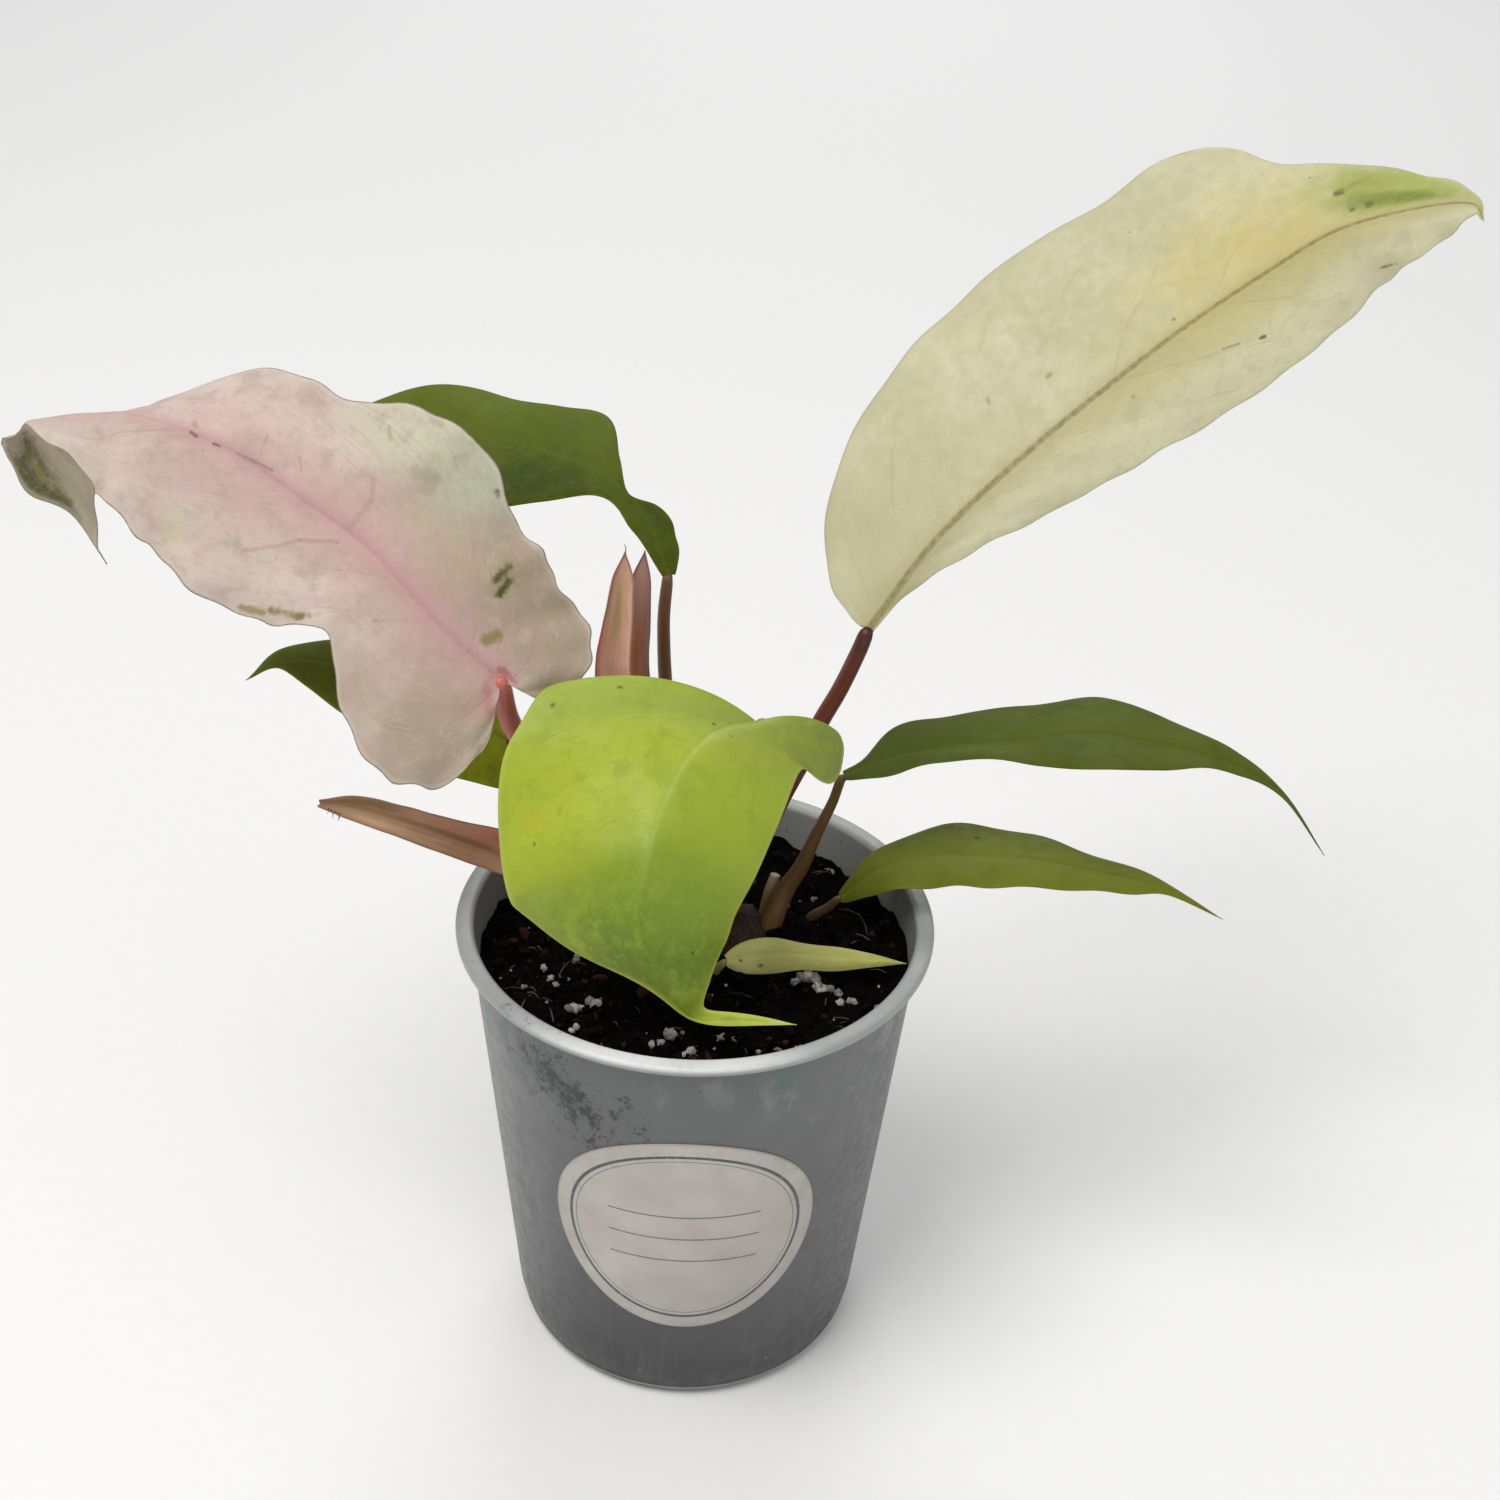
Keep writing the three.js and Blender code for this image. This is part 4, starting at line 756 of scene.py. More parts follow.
LEAF_LOOKS = {
    "leaf_cream": dict(
        light=(206, 203, 171), dark=(195, 193, 159), blot=(188, 186, 154), fleck=(184, 181, 146),
        below=(196, 192, 160), vein=(190, 186, 150), vein_core=(176, 170, 128), rib=(142, 130, 76),
        rib_soft=(178, 170, 120), rim=(214, 208, 168), edge=(184, 182, 152), edge_width=0.3, blotch=0.2,
        mottle=0.15, grain=0.22, halo=0.05, tone=(0.95, 0.93, 0.87), freckle=0.15, vein_strength=0.14,
        thread=0.15, rib_width=1.05, rib_strength=0.85, rib_glow=0.35, speck=0.55, length=175,
        zones=[((0.5, 0.7), (0.55, 0.6), (232, 229, 196), 0.85, 0.7),
            ((0.67, -0.24), (0.16, 0.34), (204, 193, 118), 0.85, 0.8),
            ((0.7, -0.62), (0.08, 0.3), (206, 198, 132), 0.4, 0.9),
            ((0.6, 0.2), (0.24, 0.22), (207, 200, 136), 0.65, 0.8),
            ((0.8, -0.6), (0.1, 0.45), (160, 174, 78), 0.95, 0.5),
            ((0.79, -0.38), (0.065, 0.14), (118, 138, 38), 0.9, 0.6),
            ((0.97, -0.3), (0.09, 0.9), (176, 180, 104), 0.7, 0.6),
            ((1.0, 0.0), (0.02, 1.6), (222, 216, 198), 0.8, 0.5),
            ((0.03, 0.0), (0.12, 0.6), (182, 178, 142), 0.5, 0.7)],
        marks=[((143.9, 56.9, 295.2), (144.9, 56.6, 295.5), 0.7, (92, 78, 36), 0.9),
            ((150.0, 52.2, 294.2), (150.6, 52.0, 294.4), 0.8, (108, 98, 46), 0.8),
            ((146.9, 53.1, 292.5), (147.1, 53.1, 292.6), 0.5, (92, 78, 36), 0.8),
            ((144.8, 57.0, 295.9), (153.7, 55.4, 301.0), 0.7, (140, 140, 62), 0.65),
            ((130.0, 48.8, 262.8), (130.9, 48.9, 263.1), 0.45, (96, 88, 52), 0.85),
            ((121.2, 47.9, 260.0), (125.0, 48.3, 261.4), 0.3, (150, 140, 96), 0.6),
            ((155.2, 48.6, 280.7), (159.1, 45.2, 284.2), 0.35, (124, 120, 80), 0.8),
            ((109.0, 50.6, 265.9), (109.4, 50.6, 266.0), 0.4, (120, 110, 70), 0.7),
            ((100.3, 44.1, 248.7), (100.6, 44.1, 248.8), 0.4, (118, 106, 66), 0.7),
            ((80.6, 49.3, 251.2), (81.2, 49.3, 251.8), 0.5, (140, 130, 92), 0.6),
            ((67.0, 48.2, 244.4), (66.6, 48.4, 245.6), 0.55, (150, 142, 106), 0.6),
            ((38.4, 50.4, 233.1), (38.9, 50.2, 231.6), 0.6, (150, 142, 108), 0.6)]),
    "leaf_pink": dict(
        light=(211, 194, 184), dark=(199, 178, 168), blot=(182, 164, 150), fleck=(172, 150, 141),
        below=(196, 186, 164), vein=(186, 150, 146), vein_core=(166, 128, 126), rib=(172, 130, 130),
        rib_soft=(194, 150, 152), rim=(208, 198, 180), edge=(132, 116, 108), edge_width=0.4, blotch=0.55,
        mottle=0.22, grain=0.3, thread=0.1, freckle=0.2, halo=0.12, vein_strength=0.1, rib_width=0.85,
        rib_strength=0.32, rib_glow=0.62, rib_end=0.92, rim_strength=0.4, speck=1.0, length=165,
        under=0.0, gloss=0.5,
        zones=[((0.42, 0.0), (0.24, 0.34), (199, 161, 158), 0.75, 0.8),
            ((0.18, 0.0), (0.15, 0.5), (192, 152, 144), 0.6, 0.8),
            ((0.56, 0.15), (0.12, 0.5), (206, 178, 172), 0.6, 0.8),
            ((0.08, -0.75), (0.17, 0.5), (166, 152, 131), 0.9, 0.7),
            ((0.1, 0.8), (0.2, 0.5), (166, 151, 128), 0.9, 0.7),
            ((0.24, 0.75), (0.09, 0.45), (163, 146, 125), 0.75, 0.7),
            ((0.3, 0.45), (0.07, 0.25), (186, 170, 147), 0.7, 0.7),
            ((0.34, 0.85), (0.05, 0.3), (178, 184, 158), 0.95, 0.6),
            ((0.4, 0.85), (0.05, 0.28), (206, 204, 176), 0.75, 0.6),
            ((0.67, 0.0), (0.08, 1.2), (210, 194, 182), 0.7, 0.7),
            ((0.03, -0.35), (0.07, 0.16), (192, 142, 134), 0.55, 0.8),
            ((0.06, 0.12), (0.06, 0.14), (190, 142, 136), 0.5, 0.8),
            ((0.9, 0.5), (0.15, 0.6), (184, 178, 154), 0.95, 0.35),
            ((0.88, -0.5), (0.085, 0.66), (72, 80, 18), 0.97, 0.35),
            ((0.885, -0.15), (0.03, 0.12), (132, 132, 60), 0.7, 0.6)],
        marks=[((-46.6, 1.2, 214.0), (-44.9, 2.5, 218.0), 2.4, (152, 140, 98), 0.5),
            ((-47.7, 1.4, 216.1), (-44.6, 2.8, 218.8), 0.9, (78, 80, 24), 0.95),
            ((-46.9, 0.5, 212.8), (-44.7, 1.9, 215.8), 0.9, (70, 74, 20), 0.95),
            ((-49.6, -4.2, 203.4), (-47.2, -3.2, 204.2), 1.3, (140, 124, 74), 0.9),
            ((-105.0, -1.7, 208.5), (-100.4, -2.2, 207.6), 0.8, (142, 132, 86), 0.85),
            ((-98.2, -2.2, 208.1), (-91.3, -4.0, 207.8), 0.9, (134, 124, 78), 0.9),
            ((-91.3, -4.0, 207.8), (-86.8, -4.2, 207.9), 1.0, (122, 110, 66), 0.9),
            ((-47.7, 9.3, 234.1), (-47.5, 9.2, 233.4), 0.7, (100, 70, 54), 0.9),
            ((-119.8, 6.0, 226.1), (-120.5, 5.0, 223.0), 2.4, (200, 192, 156), 0.5),
            ((-61.7, 11.2, 236.2), (-66.2, 11.7, 237.3), 1.4, (156, 148, 124), 0.5),
            ((-62.8, 10.0, 233.5), (-64.5, 10.2, 234.0), 1.2, (160, 150, 124), 0.4),
            ((-115.8, 16.6, 241.9), (-117.0, 16.9, 242.8), 0.4, (116, 86, 78), 0.8),
            ((-110.7, 15.9, 239.9), (-112.0, 16.1, 240.4), 0.4, (104, 76, 70), 0.85),
            ((-107.0, 15.6, 238.8), (-99.0, 14.0, 235.5), 0.35, (150, 116, 112), 0.6),
            ((-116.6, 19.2, 244.2), (-116.4, 18.4, 243.6), 0.6, (150, 140, 96), 0.6),
            ((-83.6, 5.5, 222.3), (-92.3, 6.1, 222.0), 0.5, (166, 130, 128), 0.5),
            ((-92.3, 6.1, 222.0), (-97.7, 5.3, 220.7), 0.5, (166, 130, 128), 0.45),
            ((-97.7, 5.3, 220.7), (-105.1, 4.1, 219.9), 0.45, (168, 136, 130), 0.4),
            ((-74.6, -4.9, 207.7), (-67.3, -4.6, 208.0), 0.4, (162, 132, 126), 0.5),
            ((-102.3, 15.0, 237.2), (-100.4, 18.8, 242.0), 0.35, (170, 140, 134), 0.45),
            ((-92.4, 14.3, 235.5), (-92.9, 16.1, 238.2), 0.35, (170, 140, 134), 0.45),
            ((-72.6, 17.2, 245.5), (-72.0, 15.6, 243.3), 0.5, (156, 148, 118), 0.5),
            ((-75.8, 11.7, 235.2), (-76.1, 9.5, 231.0), 0.6, (172, 140, 138), 0.4),
            ((-76.1, 9.5, 231.0), (-81.5, 6.6, 224.5), 0.7, (176, 140, 140), 0.4),
            ((-47.9, -7.6, 196.5), (-49.2, -10.1, 193.4), 1.2, (180, 118, 112), 0.4),
            ((-49.2, -10.1, 193.4), (-48.3, -12.2, 189.6), 1.1, (178, 118, 112), 0.4),
            ((-48.3, -12.2, 189.6), (-47.5, -13.3, 187.6), 0.9, (172, 112, 106), 0.4),
            ((-46.2, -7.0, 197.3), (-45.2, -7.0, 196.6), 0.9, (160, 78, 84), 0.7),
            ((-44.8, -7.1, 196.2), (-42.6, -7.8, 194.0), 0.5, (186, 110, 110), 0.7)]),
    "leaf_lime": dict(
        light=(170, 190, 52), dark=(158, 179, 46), blot=(150, 170, 46), fleck=(148, 168, 52),
        below=(150, 166, 84), vein=(172, 192, 70), vein_core=(176, 194, 80), rib=(190, 204, 112),
        # painted highlight: this blade's pale rim (rim, rim_strength) stands for light along its margin
        rib_soft=(176, 194, 80), rim=(198, 208, 108), edge=(200, 204, 74), blotch=0.5, mottle=0.15,
        grain=0.3, halo=0.05, vein_strength=0.05, thread=0.1, rib_width=0.85, rib_strength=0.45,
        rib_glow=0.3, rib_end=0.72, freckle=0.25, rim_strength=0.35, speck=0.35, length=150,
        tone=(0.9, 0.9, 0.96), shine=0.3,
        zones=[((0.12, 0.2), (0.12, 1.0), (164, 181, 78), 0.85, 0.8),
            ((0.1, -0.8), (0.14, 0.7), (126, 138, 64), 0.95, 0.7),
            ((0.22, -0.55), (0.1, 0.5), (154, 167, 68), 0.75, 0.8),
            ((0.4, 0.6), (0.16, 0.5), (184, 200, 54), 0.8, 0.9),
            ((0.393, 0.76), (0.022, 0.07), (196, 184, 44), 0.6, 0.8),
            ((0.42, -0.5), (0.14, 0.5), (168, 188, 50), 0.7, 0.8),
            # painted shade: the next four zones darken the part of the blade that hangs down past the fold
            ((0.55, 0.3), (0.08, 0.8), (138, 158, 42), 0.6, 0.9),
            ((0.7, 0.3), (0.11, 1.0), (93, 118, 28), 0.95, 0.9),
            ((0.74, -0.3), (0.09, 0.8), (98, 124, 28), 0.85, 0.9),
            ((0.6, -0.5), (0.09, 0.6), (134, 160, 42), 0.75, 0.9),
            ((0.93, 0.0), (0.09, 1.4), (184, 198, 72), 0.9, 0.5),
            ((0.995, 0.0), (0.03, 1.2), (206, 196, 168), 0.7, 0.4)],
        marks=[((-19.1, -11.5, 196.3), (-18.6, -11.5, 196.3), 0.45, (92, 100, 42), 0.8),
            ((-33.6, -17.4, 194.5), (-33.5, -17.4, 194.6), 0.55, (84, 92, 38), 0.8),
            ((2.6, -10.5, 186.7), (2.8, -10.5, 186.7), 0.4, (80, 88, 40), 0.8),
            ((6.5, -12.8, 184.8), (6.8, -12.8, 184.8), 0.4, (80, 88, 40), 0.8),
            ((-36.6, -34.0, 168.1), (-36.6, -34.0, 167.7), 0.45, (96, 100, 40), 0.8),
            ((-0.6, -42.6, 145.3), (-0.4, -42.6, 145.3), 0.5, (70, 78, 28), 0.85)]),
    "leaf_back": dict(
        light=(108, 120, 44), dark=(97, 110, 36), blot=(88, 102, 30), fleck=(116, 128, 56),
        below=(108, 120, 56), vein=(110, 122, 50), vein_core=(112, 124, 56), rib=(112, 124, 60),
        rib_soft=(104, 118, 48), rim=(112, 122, 52), edge=(96, 104, 40), grain=0.25, halo=0.1,
        vein_strength=0.1, speck=0.1, length=120, rib_width=0.5, rib_strength=0.35,
        tone=(0.66, 0.7, 0.25), under=0.3, shine=0.15, gloss=0.55,
        zones=[((0.1, 0.0), (0.3, 1.6), (76, 88, 26), 0.9, 0.8),
            ((0.3, 0.6), (0.08, 0.6), (64, 74, 22), 0.7, 0.8),
            ((0.555, -0.6), (0.13, 0.5), (62, 80, 16), 0.95, 0.8)]),
    "leaf_left": dict(
        light=(96, 108, 34), dark=(86, 98, 28), blot=(74, 84, 22), fleck=(104, 114, 46),
        below=(96, 106, 44), vein=(98, 108, 42), vein_core=(104, 114, 46), rib=(108, 116, 54),
        rib_soft=(98, 108, 44), rim=(108, 112, 46), edge=(112, 112, 54), grain=0.25, halo=0.1,
        vein_strength=0.1, speck=0.1, length=75, rib_width=0.5, rib_strength=0.35,
        tone=(0.94, 1.02, 0.34), shine=0.2, gloss=0.5,
        zones=[((0.08, -0.3), (0.22, 1.5), (166, 178, 66), 0.95, 0.6),
            ((0.72, -0.4), (0.2, 0.7), (76, 86, 20), 0.8, 0.8)]),
    "leaf_right_upper": dict(
        light=(84, 94, 36), dark=(76, 87, 28), blot=(68, 79, 22), fleck=(94, 103, 46),
        below=(92, 100, 50), vein=(92, 102, 44), vein_core=(100, 108, 52), rib=(108, 116, 60),
        rib_soft=(92, 100, 44), rim=(96, 102, 44), edge=(84, 92, 38), grain=0.3, halo=0.12,
        vein_strength=0.12, speck=0.15, length=130, rib_width=0.5, rib_strength=0.45,
        tone=(0.71, 0.77, 0.24), shine=0.15, gloss=0.55,
        zones=[((0.1, 0.0), (0.25, 1.6), (72, 84, 20), 0.85, 0.7),
            ((0.75, 0.0), (0.3, 1.6), (97, 106, 50), 0.85, 0.8),
            ((0.36, 0.4), (0.08, 0.3), (104, 112, 58), 0.5, 0.8)]),
    "leaf_right_lower": dict(
        light=(108, 116, 46), dark=(98, 107, 42), blot=(92, 99, 38), fleck=(116, 124, 58),
        below=(114, 120, 66), vein=(112, 120, 56), vein_core=(118, 126, 62), rib=(122, 128, 70),
        rib_soft=(110, 118, 58), rim=(118, 122, 60), edge=(118, 118, 62), grain=0.3, halo=0.12,
        vein_strength=0.12, speck=0.3, length=105, rib_width=0.45, rib_strength=0.4,
        tone=(0.8, 0.86, 0.22), shine=0.2, gloss=0.52,
        zones=[((0.75, 0.0), (0.32, 1.6), (118, 127, 66), 0.9, 0.8),
            ((0.485, 0.42), (0.06, 0.2), (120, 108, 60), 0.4, 0.8)],
        marks=[((67.0, 17.6, 140.6), (67.8, 17.3, 140.6), 0.6, (60, 68, 26), 0.8),
            ((70.5, 13.8, 140.8), (71.3, 13.7, 140.8), 0.5, (66, 72, 30), 0.8),
            ((75.2, 11.7, 141.2), (77.0, 11.4, 141.2), 0.6, (132, 116, 66), 0.5)]),
    "leaf_small": dict(
        light=(162, 160, 100), dark=(146, 145, 88), blot=(138, 135, 80), fleck=(170, 168, 112),
        below=(150, 146, 96), vein=(156, 154, 98), vein_core=(160, 158, 104), rib=(164, 162, 108),
        rib_soft=(160, 158, 104), rim=(172, 168, 118), edge=(150, 144, 100), grain=0.25, halo=0.06,
        speck=0.8, length=45, rib_width=0.35, rib_strength=0.2, vein_strength=0.08, tone=(1.7, 1.72, 1.5),
        under=0.2, shine=0.2, gloss=0.5,
        zones=[((0.1, 0.0), (0.2, 1.6), (176, 176, 122), 0.85, 0.6),
            ((0.55, 0.3), (0.2, 0.8), (138, 134, 84), 0.7, 0.8),
            ((0.88, 0.0), (0.22, 1.6), (124, 126, 62), 0.8, 0.8)],
        marks=[((11.3, -11.4, 119.2), (11.5, -11.4, 119.2), 0.4, (62, 62, 30), 0.8),
            ((16.3, -12.3, 118.5), (16.6, -12.3, 118.5), 0.5, (58, 58, 28), 0.8)]),
}
SHEATH_LOOKS = {
    "sheath_upright_outer": dict(
        base=(190, 140, 132), tip=(160, 122, 106), stripe=(140, 98, 88), outline=(114, 74, 70),
        tone=(2.0, 2.2, 2.0),
        bands=[((0.35, -0.85), (0.74, -0.9), 0.28, (172, 88, 86), 0.8),
            ((0.7, 0.15), (0.87, 0.05), 0.26, (124, 110, 60), 0.7),
            ((0.75, -0.8), (0.97, -0.7), 0.25, (112, 74, 66), 0.6),
            ((0.3, 0.85), (0.85, 0.9), 0.2, (180, 146, 136), 0.5)]),
    "sheath_upright_inner": dict(
        base=(162, 124, 110), tip=(136, 106, 94), stripe=(110, 76, 64), outline=(96, 66, 62),
        tone=(1.9, 2.05, 2.1),
        bands=[((0.4, 0.1), (0.76, 0.25), 0.3, (150, 98, 58), 0.75),
            ((0.5, 0.8), (0.95, 0.75), 0.3, (120, 84, 86), 0.7),
            ((0.35, -0.85), (0.72, -0.8), 0.22, (116, 72, 48), 0.7)]),
    "sheath_left": dict(
        base=(188, 124, 108), tip=(126, 100, 80), stripe=(128, 84, 70), outline=(108, 82, 76),
        tone=(1.9, 2.05, 1.85),
        bands=[((0.8, 0.7), (0.99, 0.5), 0.42, (90, 68, 40), 0.85),
            ((0.6, 0.05), (0.94, 0.3), 0.16, (102, 80, 50), 0.8),
            ((0.25, 0.5), (0.64, 0.55), 0.4, (160, 86, 80), 0.65),
            ((0.4, -0.6), (0.9, -0.5), 0.4, (160, 134, 116), 0.6),
            ((0.2, -0.2), (0.58, -0.15), 0.2, (128, 66, 58), 0.5)]),
}

for leaf, look in LEAF_LOOKS.items():
    settle(make_blade(leaf, BLADE_THICKNESS, RIB_GROOVE), [leaf],
           leaf_material(leaf, FINE[leaf]["veins"], **look))
for sheath, look in SHEATH_LOOKS.items():
    settle(make_blade(sheath, SHEATH_THICKNESS, 0.0), [sheath], sheath_material(sheath, **look))

# Stalk colours: at the foot, half way, at the blade, and of the stripes, then a tone
STALK_LOOKS = {
    "stalk_cream": ((136, 72, 58), (132, 60, 38), (40, 16, 6), (100, 42, 28), (0.64, 0.58, 0.48)),
    "stalk_pink": ((150, 100, 84), (188, 104, 92), (206, 106, 98), (176, 84, 76), (1.1, 1.15, 1.15)),
    "stalk_lime": ((122, 88, 54), (140, 112, 60), (150, 150, 78), (104, 70, 46)),
    "stalk_back": ((92, 60, 34), (104, 68, 34), (92, 66, 32), (62, 38, 24)),
    "stalk_left": ((110, 78, 48), (120, 92, 54), (118, 116, 56), (84, 54, 34)),
    "stalk_right_upper": ((124, 92, 48), (108, 78, 42), (86, 76, 36), (72, 48, 28)),
    "stalk_right_lower": ((112, 78, 64), (116, 86, 64), (112, 106, 56), (82, 52, 42)),
    "stalk_small": ((150, 142, 96), (164, 158, 104), (170, 168, 112), (120, 100, 62)),
    "old_stub": ((116, 88, 56), (146, 124, 92), (176, 160, 134), (96, 70, 44)),
}

for stalk_name, spec in STALKS.items():
    path, radius = [list(p) for p in spec["path"]], list(spec["radius"])
    if "blade" in spec:
        # the stalk thins out under the midrib, which it carries on
        blade = BLADES[spec["blade"]]
        u = np.array([0.0, 0.025])
        along, right, out = blade_frame(blade, u)
        slim = np.array([0.55, 0.22]) * radius[-1]
        joints = through(blade["rib"], u) - out * (slim[:, None] + np.array([[0.35], [0.6]]))
        path += joints.tolist()
        radius = through(radius, np.linspace(0, 1, len(spec["path"]))).tolist() + slim.tolist()
    verts, faces, readings = tube_parts(path, radius, steps=70, squeeze=0.92)
    material = stalk_material(stalk_name, *STALK_LOOKS[stalk_name])
    settle(make_mesh(stalk_name + "_tube", verts, faces, readings), [stalk_name],
           material)


def fibre_material():
    s = Shader("dry_fibre", Specular_IOR_Level=0.3)
    fine = s.noise(s.place(), 1.2, 3.0)
    s.spread((104, 88, 78), (62, 50, 44), s.ramp(s.attribute("tone") * 0.6 + fine * 0.4, 0.2, 0.8))
    return s.finish(0.7, fine, 0.0001)


# Dry hairs on the tips of the sheaths
HAIR_ROOTS = [((-18.9, 13.9, 217.6), (-0.4, 0.0, 2.6)), ((-86.0, -9.6, 158.8), (0.5, -0.2, -1.8)),
              ((-87.2, -9.4, 159.4), (0.2, -0.1, -2.6)), ((-85.2, -9.7, 158.6), (-0.6, -0.2, -2.2)),
              ((-86.6, -9.4, 159.0), (0.9, -0.2, -1.4)), ((-87.8, -9.2, 159.6), (-0.5, -0.1, -1.6))]
hair_paths = []
for root, run in HAIR_ROOTS:
    root, run = np.array(root), np.array(run)
    hair_paths.append([root, root + 0.5 * run + (0.25, 0.1, 0.0), root + run])
settle(threads("sheath_hairs", hair_paths, 0.12), [], fibre_material())


# Pot
def wall_radius(z):
    return POT_BASE_RADIUS + (POT_TOP_RADIUS - POT_BASE_RADIUS) * z / (POT_HEIGHT - LIP_DEPTH)


def arc(centre, radius, start, end, steps):
    angles = np.radians(np.linspace(start, end, steps + 1))
    return [(centre[0] + radius * math.cos(a), centre[1] + radius * math.sin(a)) for a in angles]


def lathe(name, profile, segments=224):
    """Closed surface of revolution from a profile that starts and ends on the axis."""
    profile = np.array(profile, float)
    angle = 2 * np.pi * np.arange(segments) / segments
    verts = [(0, 0, profile[0, 1])]
    for reach, z in profile[1:-1]:
        verts.extend(zip(reach * np.cos(angle), reach * np.sin(angle), np.full(segments, z)))
    verts.append((0, 0, profile[-1, 1]))
    # the profile runs up the outside, so its faces are turned over
    return make_mesh(name, verts, turned(skin_faces(len(profile) - 2, segments)))


def pot_profile():
    top_wall = POT_HEIGHT - LIP_DEPTH
    foot = POT_BASE_RADIUS - FOOT_FILLET
    profile = [(0, 0.6), (foot - 6, 0.6), (foot - 4.5, 0.35), (foot - 3.5, 0.0)]
    profile += arc((foot, FOOT_FILLET), FOOT_FILLET, -90, -4, 10)
    for k in range(1, 40):
        z = FOOT_FILLET + (top_wall - 1.0 - FOOT_FILLET) * k / 39
        profile.append((wall_radius(z), z))
    profile += [(POT_TOP_RADIUS + 0.25, top_wall - 0.5), (POT_TOP_RADIUS + 0.9, top_wall - 0.12)]
    profile += arc((LIP_RADIUS - 0.7, top_wall + 0.6), 0.7, -80, 0, 4)
    profile += arc((LIP_RADIUS - 1.0, POT_HEIGHT - 1.0), 1.0, 0, 85, 6)
    profile += arc((POT_TOP_RADIUS - POT_WALL + 1.6, POT_HEIGHT - 1.6), 1.6, 95, 178, 6)
    for k in range(20):
        z = POT_HEIGHT - 3 - (POT_HEIGHT - 3 - FOOT_FILLET) * k / 19
        profile.append((wall_radius(z) - POT_WALL, z))
    profile += [(foot + 1.2, POT_FLOOR + 0.6), (foot, POT_FLOOR), (0, POT_FLOOR)]
    return profile


def cut(piece, cutter):
    modifier = piece.modifiers.new("cut", "BOOLEAN")
    modifier.object = cutter
    modifier.operation = "DIFFERENCE"
    modifier.solver = "EXACT"
    bpy.context.view_layer.objects.active = piece
    bpy.ops.object.modifier_apply(modifier=modifier.name)
    bpy.data.objects.remove(cutter, do_unlink=True)


def pot_material():
    s = Shader("frosted_plastic", (0.52, 0.52, 0.53), Specular_IOR_Level=0.5, Coat_Weight=0.1,
               Coat_Roughness=0.25)
    place = s.place()
    x, z = s.split(place, 0), s.split(place, 2)
    cloud = s.noise(place, 0.03, 4.0)
    patchy = s.noise(place, 0.09, 5.0, 0.6)
    fine = s.noise(place, 0.3, 5.0, 0.65)
    # darker at the foot, paler up to the lip: partly soil seen through the wall, partly painted shade
    level = z + cloud * 16.0
    s.spread((58, 59, 60), (112, 113, 113), s.ramp(level, 8.0, 66.0))
    s.lay((122, 124, 123), s.ramp(level, 70.0, 120.0))
    # painted light: the left flank, turned toward the key light, is paler
    s.lay((160, 161, 161), s.ramp(x, -20.0, -54.0) * s.ramp(z, 30.0, 100.0, 0.35, 0.8))
    s.lay((98, 99, 99), s.ramp(patchy, 0.38, 0.66, 0.0, 0.35))
    # painted highlight: a soft paler band down the front of the wall, below the lip
    front = s.vector("DOT_PRODUCT", place, (0.1, -0.99, 0.0), "Value")
    s.lay((150, 153, 152), s.ramp(front, 30.0, 56.0) * s.ramp(z, 50.0, 112.0, 0.1, 0.6))
    # teal and pale clouds just under the lip: painted light coming through the thin wall
    under_lip = s.ramp(z, 92.0, 106.0) * s.ramp(z, 119.0, 122.0, 1.0, 0.0)
    tint = s.ramp(s.noise(place, 0.05, 3.0, 0.6), 0.46, 0.6, 0.0, 0.85)
    s.lay((118, 142, 137), tint * under_lip)
    glow_through = s.ramp(s.noise(s.scaled(place, (0.09, 0.09, 0.05)), 1.0, 4.0, 0.6), 0.56, 0.68, 0.0, 0.6)
    s.lay((172, 177, 174), glow_through * under_lip)
    # the lip and the wall inside it, painted paler for the light they let through, with a painted highlight
    # along the front of the lip
    s.lay((157, 160, 159), s.ramp(z, 122.8, 123.3), PURE)
    # painted highlight along the front of the lip
    front_lip = s.vector("DOT_PRODUCT", place, (-0.12, -0.99, 0.0), "Value")
    s.lay((224, 226, 225), s.ramp(front_lip, 45.0, 59.0) * s.ramp(z, 123.9, 125.2), PURE)
    s.lay((147, 150, 147), s.attribute("inside"), PURE)
    # flow lines of the moulding, scuffs, pale nicks and dust
    lines = s.noise(s.scaled(place, (0.5, 0.5, 0.04)), 1.0, 4.0)
    s.lay((150, 151, 151), s.ramp(lines, 0.5, 0.72, 0.0, 0.12))
    s.lay((176, 178, 176), s.ramp(s.cells(place, 0.11), 0.03, 0.07, 0.5, 0.0))
    s.lay((66, 64, 62), s.ramp(s.cells(s.scaled(place, (1.0, 1.0, 0.6)), 0.16), 0.04, 0.09, 0.4, 0.0))
    # smudge of fine soil under the lip at the left
    wide = s.stroke(place, (-38.0, -42.0, 113.0), (-20.5, -51.5, 98.0), 10.0, soft=0.9)
    heart = s.stroke(place, (-35.0, -44.0, 110.0), (-27.0, -48.5, 103.0), 5.0, soft=0.9)
    grit = s.noise(place, 0.24, 6.0, 0.78) * 0.75 + s.noise(place, 1.1, 3.0) * 0.25
    grains = s.ramp(grit + wide * 0.07 + heart * 0.06, 0.55, 0.66)
    s.lay((74, 73, 72), heart * 0.3)
    s.lay((38, 36, 35), grains * s.ramp(wide, 0.0, 0.3) * 0.9)
    rough = s.ramp(fine, 0.3, 0.7, 0.34, 0.5) + s.ramp(z, 2.0, 6.0, 0.3, 0.0)
    return s.finish(rough, lines * 0.3 + fine * 0.6, 0.0001, 0.5)


